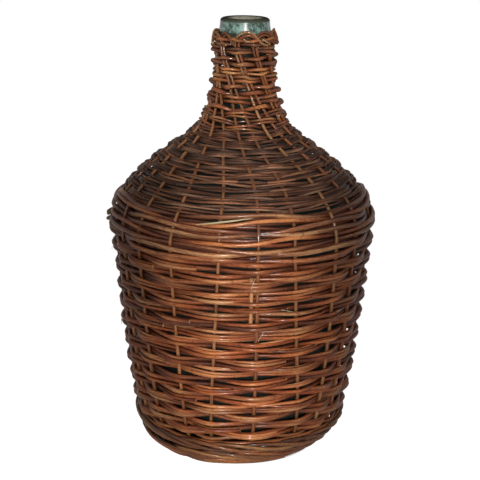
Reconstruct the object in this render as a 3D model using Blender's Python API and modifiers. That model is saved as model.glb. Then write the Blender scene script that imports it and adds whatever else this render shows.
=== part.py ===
"""A wicker demijohn: a wide glass bottle inside a willow basket that is woven on it.

Metres, +Z up. The origin is on the floor, in the middle of the base. Everything in the basket is
placed from the outline of the bottle: twenty upright stakes stand a fixed depth outside the glass,
and the weavers go round in front of and behind them.
"""

import math

import bmesh
import bpy
from mathutils import Vector

# Gap between pieces that touch, and the looser one between a weaver and the stake it passes
GAP = 0.0003
WEAVE_SLACK = 0.0004

# The bottle, with its heights measured from its own underside
BOTTLE_HEIGHT = 0.4487
HEEL_ROUND = 0.050
HEEL_LEAN = math.radians(12)
HEEL_SPREAD = 0.0303
WIDEST_RADIUS = 0.1287
WIDEST_HEIGHT = 0.2377
NECK_RADIUS = 0.0221
NECK_LENGTH = 0.0600
LIP_RADIUS = 0.0260
LIP_HEIGHT = 0.0160
LIP_ROUND = 0.0045
BORE_RADIUS = 0.0174
WALL = 0.0040
FLOOR_THICKNESS = 0.0065
PUNT_RADIUS = 0.040
PUNT_RISE = 0.012
GLASS_STEPS = 32

# Outline of the bottle above its heel, as shares of the rise and of the change in radius
BODY_SHARES = ((0.25, 0.35), (0.55, 0.635), (0.80, 0.84), (1.0, 1.0))
SHOULDER_SHARES = (
    (0.075, 0.012),
    (0.144, 0.051),
    (0.214, 0.124),
    (0.309, 0.271),
    (0.407, 0.450),
    (0.509, 0.630),
    (0.620, 0.800),
    (0.710, 0.877),
    (0.803, 0.944),
    (0.900, 0.982),
    (1.0, 1.0),
)

# The base that the bottle stands on, and the border round it
BASE_RADIUS = 0.0745
BASE_THICKNESS = 0.011
BASE_EDGE_ROUND = 0.002
BORDER_THICKNESS = 0.0078

# The upright stakes, thicker at the foot than at the tip
STAKES = 20
STAKE_BUTT_DIAMETER = 0.0042
STAKE_TIP_DIAMETER = 0.0029
STAKE_TURN = math.radians(8)
TWIST_ANGLE = math.radians(-75)
TWIST_START_SHARE = 0.27
TWIST_POWER = 1.6
GATHER_START_SHARE = 0.56
GATHER_END_SHARE = 0.82
PAIR_SPACING = 0.0040

# How far each hand-set stake strays from its even place, as shares of the step between stakes
WAIST_DRIFT_SHARES = (
    -0.06, -0.22, 0.03, -0.17, 0.08, -0.11, 0.11, 0.00, -0.08, 0.14,
    -0.06, 0.06, -0.11, 0.08, 0.00, 0.11, -0.06, -0.26, -0.20, 0.04,
)
FOOT_DRIFT_SHARES = (
    -0.03, 0.46, 0.18, -0.10, 0.17, -0.06, -0.11, 0.08, -0.17, 0.06,
    0.11, -0.08, 0.00, 0.14, -0.11, 0.06, -0.06, -0.20, -0.10, -0.38,
)

# The crown, where the tips bend over the next pair of stakes
RIM_BELOW_LIP = 0.0077
CROWN_RISE = 0.0052
CROWN_LAP = 0.0052
CROWN_STEPS = 5

# The weavers: diameters of the rods, and how many courses each zone has
ROD_DIAMETER = 0.0040
FOOT_ROD_DIAMETER = 0.0052
WAIST_ROD_DIAMETER = 0.0046
SHOULDER_ROD_DIAMETER = 0.0026
SHOULDER_BAND_GAP = 0.0009
NECK_ROD_DIAMETER = 0.0036
FOOT_ROWS = 3
BODY_ROWS = 19
WAIST_ROWS = 4
SHOULDER_BANDS = 10
NECK_TURNS = 10
FOOT_SPREAD = 0.0115
WAIST_DROP = 0.0110
WAIST_SPREAD = 0.0115
SHOULDER_END_SHARE = 0.67
WRAP = 0.0015

# Colours, roughness and metallic value of each kind of piece
FINISHES = {
    "bottle_glass": ((0.22, 0.36, 0.27, 1.0), 0.08, 0.0),
    "stake_willow": ((0.50, 0.25, 0.10, 1.0), 0.45, 0.0),
    "body_willow": ((0.33, 0.12, 0.05, 1.0), 0.42, 0.0),
    "waist_willow": ((0.45, 0.19, 0.07, 1.0), 0.38, 0.0),
    "shoulder_willow": ((0.16, 0.09, 0.06, 1.0), 0.55, 0.0),
    "base_willow": ((0.24, 0.13, 0.07, 1.0), 0.60, 0.0),
}

# Depth of the stakes' centres outside the glass: half a stake and the thickest rod behind it
STAKE_RADIUS = STAKE_BUTT_DIAMETER / 2
WEAVE_DEPTH = STAKE_RADIUS + WEAVE_SLACK + max(ROD_DIAMETER, WAIST_ROD_DIAMETER) + GAP
BOTTLE_FOOT = BASE_THICKNESS + GAP
NECK_HEIGHT = BOTTLE_HEIGHT - NECK_LENGTH
STAKE_STEP = 2 * math.pi / STAKES
HEEL_CENTRE_RADIUS = BASE_RADIUS + HEEL_SPREAD - HEEL_ROUND * math.cos(HEEL_LEAN)


def clear_scene():
    """Remove whatever the scene holds."""
    for thing in list(bpy.data.objects):
        bpy.data.objects.remove(thing, do_unlink=True)


def new_collection(name):
    """Add a collection under the scene's own."""
    collection = bpy.data.collections.new(name)
    bpy.context.scene.collection.children.link(collection)
    return collection


def finish(name):
    """Make the Principled material of one kind of piece."""
    colour, roughness, metallic = FINISHES[name]
    material = bpy.data.materials.new(name)
    material.use_nodes = True
    shader = material.node_tree.nodes["Principled BSDF"]
    shader.inputs["Base Color"].default_value = colour
    shader.inputs["Roughness"].default_value = roughness
    shader.inputs["Metallic"].default_value = metallic
    material.diffuse_color = colour
    return material


def add_object(name, data, collection, material_name):
    """Link a mesh or a curve as one named piece with its own material."""
    piece = bpy.data.objects.new(name, data)
    collection.objects.link(piece)
    data.materials.append(finish(material_name))
    return piece


def heel_point(angle, outset):
    """A point at this angle below level on the round of the heel, this far outside the glass."""
    reach = HEEL_ROUND + outset
    radius = HEEL_CENTRE_RADIUS + reach * math.cos(angle)
    return Vector((radius, BOTTLE_FOOT + HEEL_ROUND - reach * math.sin(angle)))


def stake_foot_angle():
    """The angle on the heel at which a stake meets the rim of the base."""
    reach = HEEL_ROUND + WEAVE_DEPTH
    return math.acos((BASE_RADIUS + GAP - HEEL_CENTRE_RADIUS) / reach)


def glass_outline():
    """Radius and height of the glass from the foot of the stakes up to the foot of the neck."""
    first, last, steps = stake_foot_angle(), HEEL_LEAN, 4
    points = [heel_point(first + (last - first) * i / steps, 0) for i in range(steps + 1)]
    foot = points[-1]
    widest = Vector((WIDEST_RADIUS, BOTTLE_FOOT + WIDEST_HEIGHT))
    neck = Vector((NECK_RADIUS, BOTTLE_FOOT + NECK_HEIGHT))
    for start, end, shares in ((foot, widest, BODY_SHARES), (widest, neck, SHOULDER_SHARES)):
        for rise, change in shares:
            radius = start.x + (end.x - start.x) * change
            points.append(Vector((radius, start.y + (end.y - start.y) * rise)))
    return points


def offset_outline(points, distance):
    """Move an outline outwards, or inwards if the distance is negative, keeping its walls even."""
    moved = []
    for i, point in enumerate(points):
        before = point - points[i - 1] if i else points[1] - point
        after = points[i + 1] - point if i + 1 < len(points) else before
        normals = [Vector((run.y, -run.x)).normalized() for run in (before, after)]
        middle = (normals[0] + normals[1]).normalized()
        moved.append(point + middle * (distance / middle.dot(normals[0])))
    return moved


class StakeLine:
    """The line that every stake follows up the bottle, measured along its length."""

    def __init__(self):
        top = BOTTLE_FOOT + BOTTLE_HEIGHT - LIP_HEIGHT - RIM_BELOW_LIP
        outline = glass_outline()
        self.points = offset_outline(outline, WEAVE_DEPTH)
        self.points[-1] = Vector((NECK_RADIUS + WEAVE_DEPTH, outline[-1].y))
        neck_steps = 3
        low = self.points[-1].y
        for i in range(neck_steps):
            height = low + (top - low) * (i + 1) / neck_steps
            self.points.append(Vector((NECK_RADIUS + WEAVE_DEPTH, height)))
        self.lengths = [0.0]
        for a, b in zip(self.points, self.points[1:]):
            self.lengths.append(self.lengths[-1] + (b - a).length)
        self.total = self.lengths[-1]
        self.shoulder = BOTTLE_FOOT + WIDEST_HEIGHT
        self.top = top
        self.waist = self.length_at_height(self.shoulder)

    def at(self, length):
        """The point and the outward normal at this length from the foot."""
        length = min(max(length, 0.0), self.total)
        last = len(self.points) - 2
        i = next((n for n in range(last) if length < self.lengths[n + 1]), last)
        a, b = self.points[i], self.points[i + 1]
        share = (length - self.lengths[i]) / (self.lengths[i + 1] - self.lengths[i])
        run = b - a
        return a + run * share, Vector((run.y, -run.x)).normalized()

    def across(self, length, height):
        """The point here, the normal of a straight course this high, and how far the line bows."""
        point, _ = self.at(length)
        low, high = self.at(length - height / 2)[0], self.at(length + height / 2)[0]
        run = high - low
        normal = Vector((run.y, -run.x)).normalized()
        return point, normal, (point - (low + high) / 2).dot(normal)

    def length_at_height(self, height):
        """How far along the line this height is."""
        for i, (a, b) in enumerate(zip(self.points, self.points[1:])):
            if height <= b.y:
                return self.lengths[i] + (b - a).length * (height - a.y) / (b.y - a.y)
        return self.total

    def rise_share(self, height):
        """How far this height is from the widest line to the rim, as a share from 0 to 1."""
        return min(max((height - self.shoulder) / (self.top - self.shoulder), 0.0), 1.0)

    def stake_radius(self, length):
        """Half the thickness of a stake at this length."""
        share = length / self.total
        return (STAKE_BUTT_DIAMETER + (STAKE_TIP_DIAMETER - STAKE_BUTT_DIAMETER) * share) / 2

    def stake_angle(self, stake, length):
        """The direction of a stake, from the front towards the right, at this length."""
        point, _ = self.at(length)
        rise = self.rise_share(point.y)
        twist = max(0.0, (rise - TWIST_START_SHARE) / (1 - TWIST_START_SHARE)) ** TWIST_POWER
        gather = (rise - GATHER_START_SHARE) / (GATHER_END_SHARE - GATHER_START_SHARE)
        gather = min(max(gather, 0.0), 1.0)
        gather = gather * gather * (3 - 2 * gather)
        half_pair = STAKE_STEP / 2 * (1 - gather) + PAIR_SPACING / 2 / point.x * gather
        first, side = stake - stake % 2, 1 if stake % 2 else -1
        middle = STAKE_TURN + (first + first + 1) * STAKE_STEP / 2
        drift = STAKE_STEP * self.drift_share(stake, length)
        return middle + side * half_pair + drift + TWIST_ANGLE * twist

    def drift_share(self, stake, length):
        """How far a stake strays here, as a share of the step, fading out before the neck."""
        point, _ = self.at(length)
        foot, waist = FOOT_DRIFT_SHARES[stake % STAKES], WAIST_DRIFT_SHARES[stake % STAKES]
        climb = min(length / self.waist, 1.0)
        fade = 1 - min(self.rise_share(point.y) / GATHER_START_SHARE, 1.0)
        return (foot + (waist - foot) * climb) * fade

    def steps_beside(self, stake, length):
        """The angles to the two neighbours of a stake, the smaller one first."""
        here = self.stake_angle(stake, length)
        after = self.stake_angle((stake + 1) % STAKES, length) - here
        before = here - self.stake_angle((stake - 1) % STAKES, length)
        return sorted(step % (2 * math.pi) for step in (after, before))


def place(radius, angle, height):
    """A point in space from its radius, its angle right of the front, and its height."""
    return Vector((radius * math.sin(angle), -radius * math.cos(angle), height))


def poly_curve(name, points, collection, material_name, closed):
    """A curve with straight runs through these points."""
    data = bpy.data.curves.new(name, "CURVE")
    data.dimensions = "3D"
    data.twist_mode = "Z_UP"
    spline = data.splines.new("POLY")
    spline.points.add(len(points) - 1)
    for spot, point in zip(spline.points, points):
        spot.co = (*point, 1.0)
    spline.use_cyclic_u = closed
    spline.use_smooth = True
    return add_object(name, data, collection, material_name)


def section_curve(name, outline, collection):
    """A hidden outline that a weaver's cross-section follows."""
    data = bpy.data.curves.new(name, "CURVE")
    data.dimensions = "2D"
    spline = data.splines.new("POLY")
    spline.points.add(len(outline) - 1)
    for spot, point in zip(spline.points, reversed(outline)):
        spot.co = (*point, 0.0, 1.0)
    spline.use_cyclic_u = True
    guide = bpy.data.objects.new(name, data)
    collection.objects.link(guide)
    guide.hide_render = True
    guide.display_type = "WIRE"
    return guide


def pair_section(name, diameter, collection):
    """Two rods lying one on the other, drawn as an outline with a waist between them."""
    x, y, waist = diameter / 2, diameter, diameter / 4
    outline = [(-x, -y), (x, -y), (waist, 0), (x, y), (-x, y), (-waist, 0)]
    return section_curve(name, outline, collection)


def band_section(name, diameter, height, collection):
    """A band of thin rods side by side."""
    x, y = diameter / 2, height / 2
    return section_curve(name, [(-x, -y), (x, -y), (x, y), (-x, y)], collection)


def weave_reach(line, stake, length, diameter, height, side, weaves):
    """How far a weaver's centre lies from the stake line where it passes a stake."""
    point, _, bow = line.across(length, height)
    clear = line.stake_radius(length) + WEAVE_SLACK + diameter / 2 + max(-side * bow, 0.0)
    near, far = line.steps_beside(stake, length)
    if not weaves:
        return clear / math.cos(far / 2)
    slope = math.asin(min(2 * clear / (point.x * near), math.sin(math.pi / 4)))
    low, high = length - height / 2, length + height / 2
    turn = line.stake_angle(stake, high) - line.stake_angle(stake, low)
    sweep = abs(turn) * point.x / 2
    return clear / math.cos(slope) + sweep * math.sin(slope)


def add_ring(name, line, length, section, diameter, height, sides, collection, material_name):
    """One closed course of weaving: sides says for each stake if it passes outside or inside."""
    point, normal, _ = line.across(length, height)
    lean = math.atan2(normal.y, normal.x)
    weaves = any(sides(stake) < 0 for stake in range(STAKES))
    points = []
    for stake in range(STAKES):
        side = sides(stake)
        reach = weave_reach(line, stake, length, diameter, height, side, weaves)
        spot = point + normal * reach * side
        points.append(place(spot.x, line.stake_angle(stake, length), spot.y))
    ring = poly_curve(name, points, collection, material_name, True)
    ring.data.bevel_mode = "OBJECT"
    ring.data.bevel_object = section
    for spot in ring.data.splines[0].points:
        spot.tilt = -lean
    return ring


def plain_weave(row):
    """In front of every other stake, one stake further on in each course."""
    return lambda stake: -1 if (stake + row) % 2 else 1


def waling_weave(row):
    """In front of three stakes and behind the fourth."""
    return lambda stake: -1 if (stake + 2 * row) % 4 == 0 else 1


def outside_all(_stake):
    """In front of every stake."""
    return 1


def add_bottle(collection):
    """The blown glass bottle, open at the mouth, with a push-up in its underside."""
    outline = glass_outline()
    inner = offset_outline(outline, -WALL)
    inner = [point for point in inner if point.y > BOTTLE_FOOT + FLOOR_THICKNESS]
    inner = [point for point in inner[::2] if point.x > BORE_RADIUS + WALL / 2]
    mouth = BOTTLE_FOOT + BOTTLE_HEIGHT
    lip_foot = mouth - LIP_HEIGHT
    floor_edge = HEEL_CENTRE_RADIUS
    profile = [(0.0, BOTTLE_FOOT + PUNT_RISE + FLOOR_THICKNESS)]
    profile.append((PUNT_RADIUS, BOTTLE_FOOT + FLOOR_THICKNESS))
    profile.append((floor_edge + WALL, BOTTLE_FOOT + FLOOR_THICKNESS))
    profile += [(point.x, point.y) for point in inner]
    profile.append((BORE_RADIUS, BOTTLE_FOOT + NECK_HEIGHT))
    profile.append((BORE_RADIUS, mouth - LIP_ROUND / 2))
    profile.append((BORE_RADIUS + LIP_ROUND / 2, mouth))
    profile.append((LIP_RADIUS - LIP_ROUND, mouth))
    profile.append((LIP_RADIUS - LIP_ROUND / 4, mouth - LIP_ROUND / 4))
    profile.append((LIP_RADIUS, mouth - LIP_ROUND))
    profile.append((LIP_RADIUS, lip_foot + LIP_ROUND))
    profile.append((NECK_RADIUS, lip_foot))
    profile += [(point.x, point.y) for point in reversed(outline)]
    profile.append((floor_edge, BOTTLE_FOOT))
    profile.append((PUNT_RADIUS, BOTTLE_FOOT))
    profile.append((0.0, BOTTLE_FOOT + PUNT_RISE))
    return turned("glass_bottle", profile, collection, "bottle_glass", GLASS_STEPS)


def turned(name, profile, collection, material_name, steps):
    """A profile of radius and height turned round the upright axis."""
    data = bpy.data.meshes.new(name)
    build = bmesh.new()
    corners = [build.verts.new((radius, 0.0, height)) for radius, height in profile]
    for a, b in zip(corners, corners[1:]):
        build.edges.new((a, b))
    build.to_mesh(data)
    build.free()
    piece = add_object(name, data, collection, material_name)
    screw = piece.modifiers.new("Turn", "SCREW")
    screw.steps = screw.render_steps = steps
    screw.use_merge_vertices = True
    screw.merge_threshold = GAP / 10
    screw.use_smooth_shade = True
    return piece


def add_base(collection):
    """The flat round base that the bottle stands on."""
    edge = BASE_EDGE_ROUND
    profile = [
        (0.0, BASE_THICKNESS),
        (BASE_RADIUS - edge, BASE_THICKNESS),
        (BASE_RADIUS, BASE_THICKNESS - edge),
        (BASE_RADIUS, edge),
        (BASE_RADIUS - edge, 0.0),
        (0.0, 0.0),
    ]
    return turned("base_disc", profile, collection, "base_willow", GLASS_STEPS)


def add_border(collection):
    """The thick ring round the foot, lying under the stakes and on the floor."""
    sides = 6
    thick = BORDER_THICKNESS / 2
    height = thick * math.cos(math.pi / sides)
    reach = HEEL_ROUND + WEAVE_DEPTH + STAKE_RADIUS + GAP + thick
    drop = (BOTTLE_FOOT + HEEL_ROUND - height) / reach
    radius = HEEL_CENTRE_RADIUS + reach * math.sqrt(1 - drop * drop)
    bpy.ops.mesh.primitive_torus_add(
        major_radius=radius,
        minor_radius=thick,
        major_segments=2 * STAKES,
        minor_segments=sides,
        location=(0.0, 0.0, height),
    )
    ring = bpy.context.object
    ring.name = ring.data.name = "foot_border"
    for holder in list(ring.users_collection):
        holder.objects.unlink(ring)
    collection.objects.link(ring)
    ring.data.materials.append(finish("base_willow"))
    ring.data.shade_smooth()
    return ring


def add_stake(line, stake, collection):
    """One stake from the rim of the base up to the crown, with its tip bent over the next pair."""
    points, thickness = [], []
    for length in line.lengths:
        spot, _ = line.at(length)
        points.append(place(spot.x, line.stake_angle(stake, length), spot.y))
        thickness.append(line.stake_radius(length) / STAKE_RADIUS)
    top, _ = line.at(line.total)
    start = line.stake_angle(stake, line.total)
    first_of_pair = stake - stake % 2
    end = line.stake_angle(first_of_pair, line.total) + 2 * STAKE_STEP
    outer = STAKE_TIP_DIAMETER + 2 * GAP
    over = 0 if stake % 2 else CROWN_LAP
    for step in range(1, CROWN_STEPS + 1):
        share = step / CROWN_STEPS
        ease = share * share * (3 - 2 * share)
        lift = over * min(2 * share, 1.0) + CROWN_RISE * math.sin(math.pi * share)
        radius = top.x + outer * ease
        points.append(place(radius, start + (end - start) * share, top.y + lift))
        thickness.append(STAKE_TIP_DIAMETER / STAKE_BUTT_DIAMETER)
    piece = poly_curve(f"stake_{stake + 1:02d}", points, collection, "stake_willow", False)
    piece.data.bevel_depth = STAKE_RADIUS
    piece.data.bevel_resolution = 0
    piece.data.use_fill_caps = True
    for spot, radius in zip(piece.data.splines[0].points, thickness):
        spot.radius = radius
    return piece


def add_neck_weaver(line, first, last, collection):
    """A rod wound up the neck, in front of one pair of stakes and behind the next."""
    steps = NECK_TURNS * STAKES
    points = []
    for step in range(steps):
        turn, stake = divmod(step, STAKES)
        length = first + (last - first) * step / steps
        spot, normal = line.at(length)
        side = 1 if (stake // 2 + turn) % 2 else -1
        reach = line.stake_radius(length) + WEAVE_SLACK + NECK_ROD_DIAMETER / 2
        angle = line.stake_angle(stake, length)
        angle += WRAP / spot.x * (1 if stake % 2 else -1)
        spot = spot + normal * reach * side
        points.append(place(spot.x, angle, spot.y))
    piece = poly_curve("neck_weaver", points, collection, "waist_willow", False)
    piece.data.bevel_depth = NECK_ROD_DIAMETER / 2
    piece.data.bevel_resolution = 0
    piece.data.use_fill_caps = True
    return piece


def add_weaving(line, collection, guides):
    """All the courses of weaving, from the foot up to the neck."""
    foot_section = pair_section("foot_section", FOOT_ROD_DIAMETER, guides)
    body_section = pair_section("body_section", ROD_DIAMETER, guides)
    waist_section = pair_section("waist_section", WAIST_ROD_DIAMETER, guides)
    foot_end = line.lengths[1] + FOOT_ROWS * FOOT_SPREAD
    for row in range(FOOT_ROWS):
        length = line.lengths[1] + (row + 0.5) * FOOT_SPREAD
        name = f"foot_waling_{row + 1}"
        add_ring(
            name, line, length, foot_section, FOOT_ROD_DIAMETER, 2 * FOOT_ROD_DIAMETER, outside_all,
            collection, "base_willow",
        )
    waist_start = line.waist - WAIST_DROP
    waist_end = waist_start + WAIST_ROWS * WAIST_SPREAD
    pitch = (waist_start - foot_end) / BODY_ROWS
    for row in range(BODY_ROWS):
        length = foot_end + (row + 0.5) * pitch
        name = f"body_row_{row + 1:02d}"
        add_ring(
            name, line, length, body_section, ROD_DIAMETER, 2 * ROD_DIAMETER, plain_weave(row),
            collection, "body_willow",
        )
    for row in range(WAIST_ROWS):
        length = waist_start + (row + 0.5) * WAIST_SPREAD
        name = f"waist_waling_{row + 1}"
        add_ring(
            name, line, length, waist_section, WAIST_ROD_DIAMETER, 2 * WAIST_ROD_DIAMETER, waling_weave(row),
            collection, "waist_willow",
        )
    rise = (NECK_HEIGHT - WIDEST_HEIGHT) * SHOULDER_END_SHARE
    shoulder_end = line.length_at_height(line.shoulder + rise)
    pitch = (shoulder_end - waist_end) / SHOULDER_BANDS
    band_height = pitch - SHOULDER_BAND_GAP
    shoulder_section = band_section("shoulder_section", SHOULDER_ROD_DIAMETER, band_height, guides)
    for row in range(SHOULDER_BANDS):
        length = waist_end + (row + 0.5) * pitch
        name = f"shoulder_band_{row + 1:02d}"
        add_ring(
            name, line, length, shoulder_section, SHOULDER_ROD_DIAMETER, band_height,
            plain_weave(row), collection, "shoulder_willow",
        )
    neck_start, neck_end = shoulder_end + NECK_ROD_DIAMETER, line.total - NECK_ROD_DIAMETER
    add_neck_weaver(line, neck_start, neck_end, collection)


def main():
    """Build the demijohn."""
    clear_scene()
    parts = new_collection("wicker_demijohn")
    guides = new_collection("guides")
    line = StakeLine()
    add_bottle(parts)
    add_base(parts)
    add_border(parts)
    for stake in range(STAKES):
        add_stake(line, stake, parts)
    add_weaving(line, parts, guides)


if __name__ == "__main__":
    main()
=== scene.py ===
"""A wicker demijohn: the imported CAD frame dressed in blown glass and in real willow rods.

The CAD solids give every place. The outline of the bottle, the line of each stake and the height
of each course are measured on them, and every rod is then laid again as a tapered, knotty rod.
Metres, +Z up, the origin on the floor in the middle of the base, -Y towards the viewer.
"""

from __future__ import annotations

import logging
import math
import random
from dataclasses import dataclass, field, replace
from enum import Enum
from typing import Callable, Sequence

import bpy
import numpy as np
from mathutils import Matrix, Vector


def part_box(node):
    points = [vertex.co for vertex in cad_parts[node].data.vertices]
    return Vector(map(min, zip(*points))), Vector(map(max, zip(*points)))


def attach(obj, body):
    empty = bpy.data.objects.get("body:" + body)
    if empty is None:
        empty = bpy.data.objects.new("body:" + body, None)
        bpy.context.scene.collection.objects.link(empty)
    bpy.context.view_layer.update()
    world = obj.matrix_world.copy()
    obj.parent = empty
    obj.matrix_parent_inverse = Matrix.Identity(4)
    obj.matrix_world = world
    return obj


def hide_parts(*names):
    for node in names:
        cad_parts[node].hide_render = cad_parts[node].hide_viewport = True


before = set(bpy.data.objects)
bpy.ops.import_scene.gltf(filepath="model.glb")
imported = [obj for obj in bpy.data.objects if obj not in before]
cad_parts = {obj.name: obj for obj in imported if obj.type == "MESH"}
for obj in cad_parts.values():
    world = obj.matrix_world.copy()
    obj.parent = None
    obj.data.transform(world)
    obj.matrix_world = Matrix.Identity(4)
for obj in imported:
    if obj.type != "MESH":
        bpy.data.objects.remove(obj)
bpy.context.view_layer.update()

LOG = logging.getLogger("demijohn")
ROOT = "root"
MM = 0.001
FULL_TURN = 2 * math.pi
STAKES = 20
BODY_ROWS = 19
WAIST_COURSES = 4
SHOULDER_BANDS = 10
FOOT_COURSES = 3
WHITE = (1.0, 1.0, 1.0, 1.0)
SMOOTH_STEP = {"interpolation_type": "SMOOTHSTEP", "clamp": True}

Colour = tuple[float, float, float]
Span = tuple[float, float]


class Bench:
    """Adds nodes to one shader or geometry tree and links them."""

    def __init__(self, tree: bpy.types.NodeTree) -> None:
        """Start work on a tree."""
        self.tree = tree

    def node(self, kind: str, settings: dict | None = None, sockets: dict | None = None) -> bpy.types.Node:
        """Add one node.

        Args:
            kind: The node's type.
            settings: Its properties.
            sockets: Values or wires for its inputs, by name or by place.

        Returns:
            The new node.
        """
        made = self.tree.nodes.new(kind)
        for name, value in (settings or {}).items():
            setattr(made, name, value)
        for key, value in (sockets or {}).items():
            source = value.socket if isinstance(value, Wire) else value
            if isinstance(source, bpy.types.NodeSocket):
                self.tree.links.new(source, made.inputs[key])
            else:
                made.inputs[key].default_value = source
        return made

    def wire(
        self, kind: str, output: int | str = 0, settings: dict | None = None, sockets: dict | None = None
    ) -> Wire:
        """Add one node and wrap one of its outputs."""
        return Wire(self, self.node(kind, settings, sockets).outputs[output])

    def attribute(self, name: str, output: str = "Fac") -> Wire:
        """A value that the mesh carries, in a shader."""
        return self.wire("ShaderNodeAttribute", output, {"attribute_name": name})

    def place(self) -> Wire:
        """The place on the object."""
        return self.wire("ShaderNodeTexCoord", "Object")

    def facing(self) -> Wire:
        """0 where a surface faces the eye, rising to 1 at its edges."""
        return self.wire("ShaderNodeLayerWeight", "Facing", None, {"Blend": 0.5})

    def combine(self, x: Wire | float, y: Wire | float, z: Wire | float) -> Wire:
        """A vector from three values."""
        return self.wire("ShaderNodeCombineXYZ", 0, None, {0: x, 1: y, 2: z})

    def split(self, vector: Wire) -> list[Wire]:
        """The three values of a vector."""
        parts = self.node("ShaderNodeSeparateXYZ", None, {0: vector}).outputs
        return [Wire(self, socket) for socket in parts]

    def length(self, vector: Wire) -> Wire:
        """How long a vector is."""
        return self.wire("ShaderNodeVectorMath", "Value", {"operation": "LENGTH"}, {0: vector})

    def noise(self, at: Wire, scale: float, detail: float = 3.0, roughness: float = 0.55) -> Wire:
        """Fractal noise from 0 to 1 at a vector."""
        sockets = {"Vector": at, "Scale": scale, "Detail": detail, "Roughness": roughness}
        return self.wire("ShaderNodeTexNoise", 0, None, sockets)

    def bump(self, height: Wire, distance: float, strength: float) -> Wire:
        """A normal that is tilted by a height."""
        sockets = {"Height": height, "Distance": distance, "Strength": strength}
        return self.wire("ShaderNodeBump", 0, None, sockets)

    def mix(self, share: Wire | float, first: Wire | Colour, second: Wire | Colour) -> Wire:
        """A colour between two colours."""
        sockets = {0: share, 6: rgba(first), 7: rgba(second)}
        return self.wire("ShaderNodeMix", 2, {"data_type": "RGBA"}, sockets)

    def blend(self, share: Wire, first: bpy.types.Node | None, second: bpy.types.Node) -> bpy.types.Node:
        """A shader between two, or with no first one a share of the second."""
        sockets = {0: share, 2: second.outputs[0]} | ({1: first.outputs[0]} if first else {})
        return self.node("ShaderNodeMixShader", None, sockets)

    def seen(self) -> Wire:
        """Tell what is seen from what only lights.

        Returns:
            1 for what is seen straight, in a reflection or through glass, and 0 for light.
        """
        path = self.node("ShaderNodeLightPath").outputs
        rays = ("Is Camera Ray", "Is Glossy Ray", "Is Transmission Ray")
        camera, glossy, clear = (Wire(self, path[name]) for name in rays)
        return camera.larger(glossy).larger(clear)


class Wire:
    """A socket that can be used in Python sums, each of which adds a Math node."""

    def __init__(self, bench: Bench, socket: bpy.types.NodeSocket) -> None:
        """Wrap one output socket."""
        self.bench = bench
        self.socket = socket

    def _math(self, operation: str, *values: Wire | float) -> Wire:
        """Add one Math node."""
        sockets = dict(enumerate(values))
        return self.bench.wire("ShaderNodeMath", 0, {"operation": operation}, sockets)

    def __add__(self, other: Wire | float) -> Wire:
        """Sum."""
        return self._math("ADD", self, other)

    def __radd__(self, other: float) -> Wire:
        """Sum with a number on the left."""
        return self._math("ADD", other, self)

    def __sub__(self, other: Wire | float) -> Wire:
        """Difference."""
        return self._math("SUBTRACT", self, other)

    def __rsub__(self, other: float) -> Wire:
        """Difference from a number on the left."""
        return self._math("SUBTRACT", other, self)

    def __mul__(self, other: Wire | float) -> Wire:
        """Product."""
        return self._math("MULTIPLY", self, other)

    def __rmul__(self, other: float) -> Wire:
        """Product with a number on the left."""
        return self._math("MULTIPLY", other, self)

    def fraction(self) -> Wire:
        """The part after the decimal point."""
        return self._math("FRACT", self)

    def size(self) -> Wire:
        """The absolute value."""
        return self._math("ABSOLUTE", self)

    def larger(self, other: Wire | float) -> Wire:
        """The larger of two values."""
        return self._math("MAXIMUM", self, other)

    def rise(self, low: float, high: float) -> Wire:
        """A smooth step that goes from 0 at low to 1 at high."""
        sockets = {"Value": self, "From Min": low, "From Max": high}
        return self.bench.wire("ShaderNodeMapRange", 0, SMOOTH_STEP, sockets)

    def about(self, share: float) -> Wire:
        """A noise's swing round its middle, by a share."""
        return (self - 0.5) * share


def rgba(colour: Wire | Colour) -> Wire | tuple[float, float, float, float]:
    """A colour as a socket takes it, with its alpha."""
    return colour if isinstance(colour, Wire) else (*colour, 1.0)


def blank_material(name: str) -> tuple[bpy.types.Material, Bench]:
    """Add a material with no nodes.

    Args:
        name: The material's name.

    Returns:
        The material, and a bench for its tree.
    """
    material = bpy.data.materials.new(name)
    material.use_nodes = True
    material.node_tree.nodes.clear()
    return material, Bench(material.node_tree)


def add_object(name: str, data: bpy.types.ID) -> bpy.types.Object:
    """Add an object at the origin.

    Args:
        name: The object's name.
        data: Its mesh, lamp or camera.

    Returns:
        The object, in the scene.
    """
    made = bpy.data.objects.new(name, data)
    bpy.context.scene.collection.objects.link(made)
    return made


@dataclass(frozen=True)
class Grain:
    """One layer of a pattern, by how often it changes round and along a rod or the bottle."""

    around: float
    along: float
    scale: float
    detail: float
    roughness: float

    def wire(self, bench: Bench, ring: Sequence[Wire], run: Wire, own: Wire | float = 0.0) -> Wire:
        """The layer, which each rod starts at its own place."""
        at = bench.combine(ring[0] * self.around, ring[1] * self.around, run * self.along + own)
        return bench.noise(at, self.scale, self.detail, self.roughness)


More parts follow.
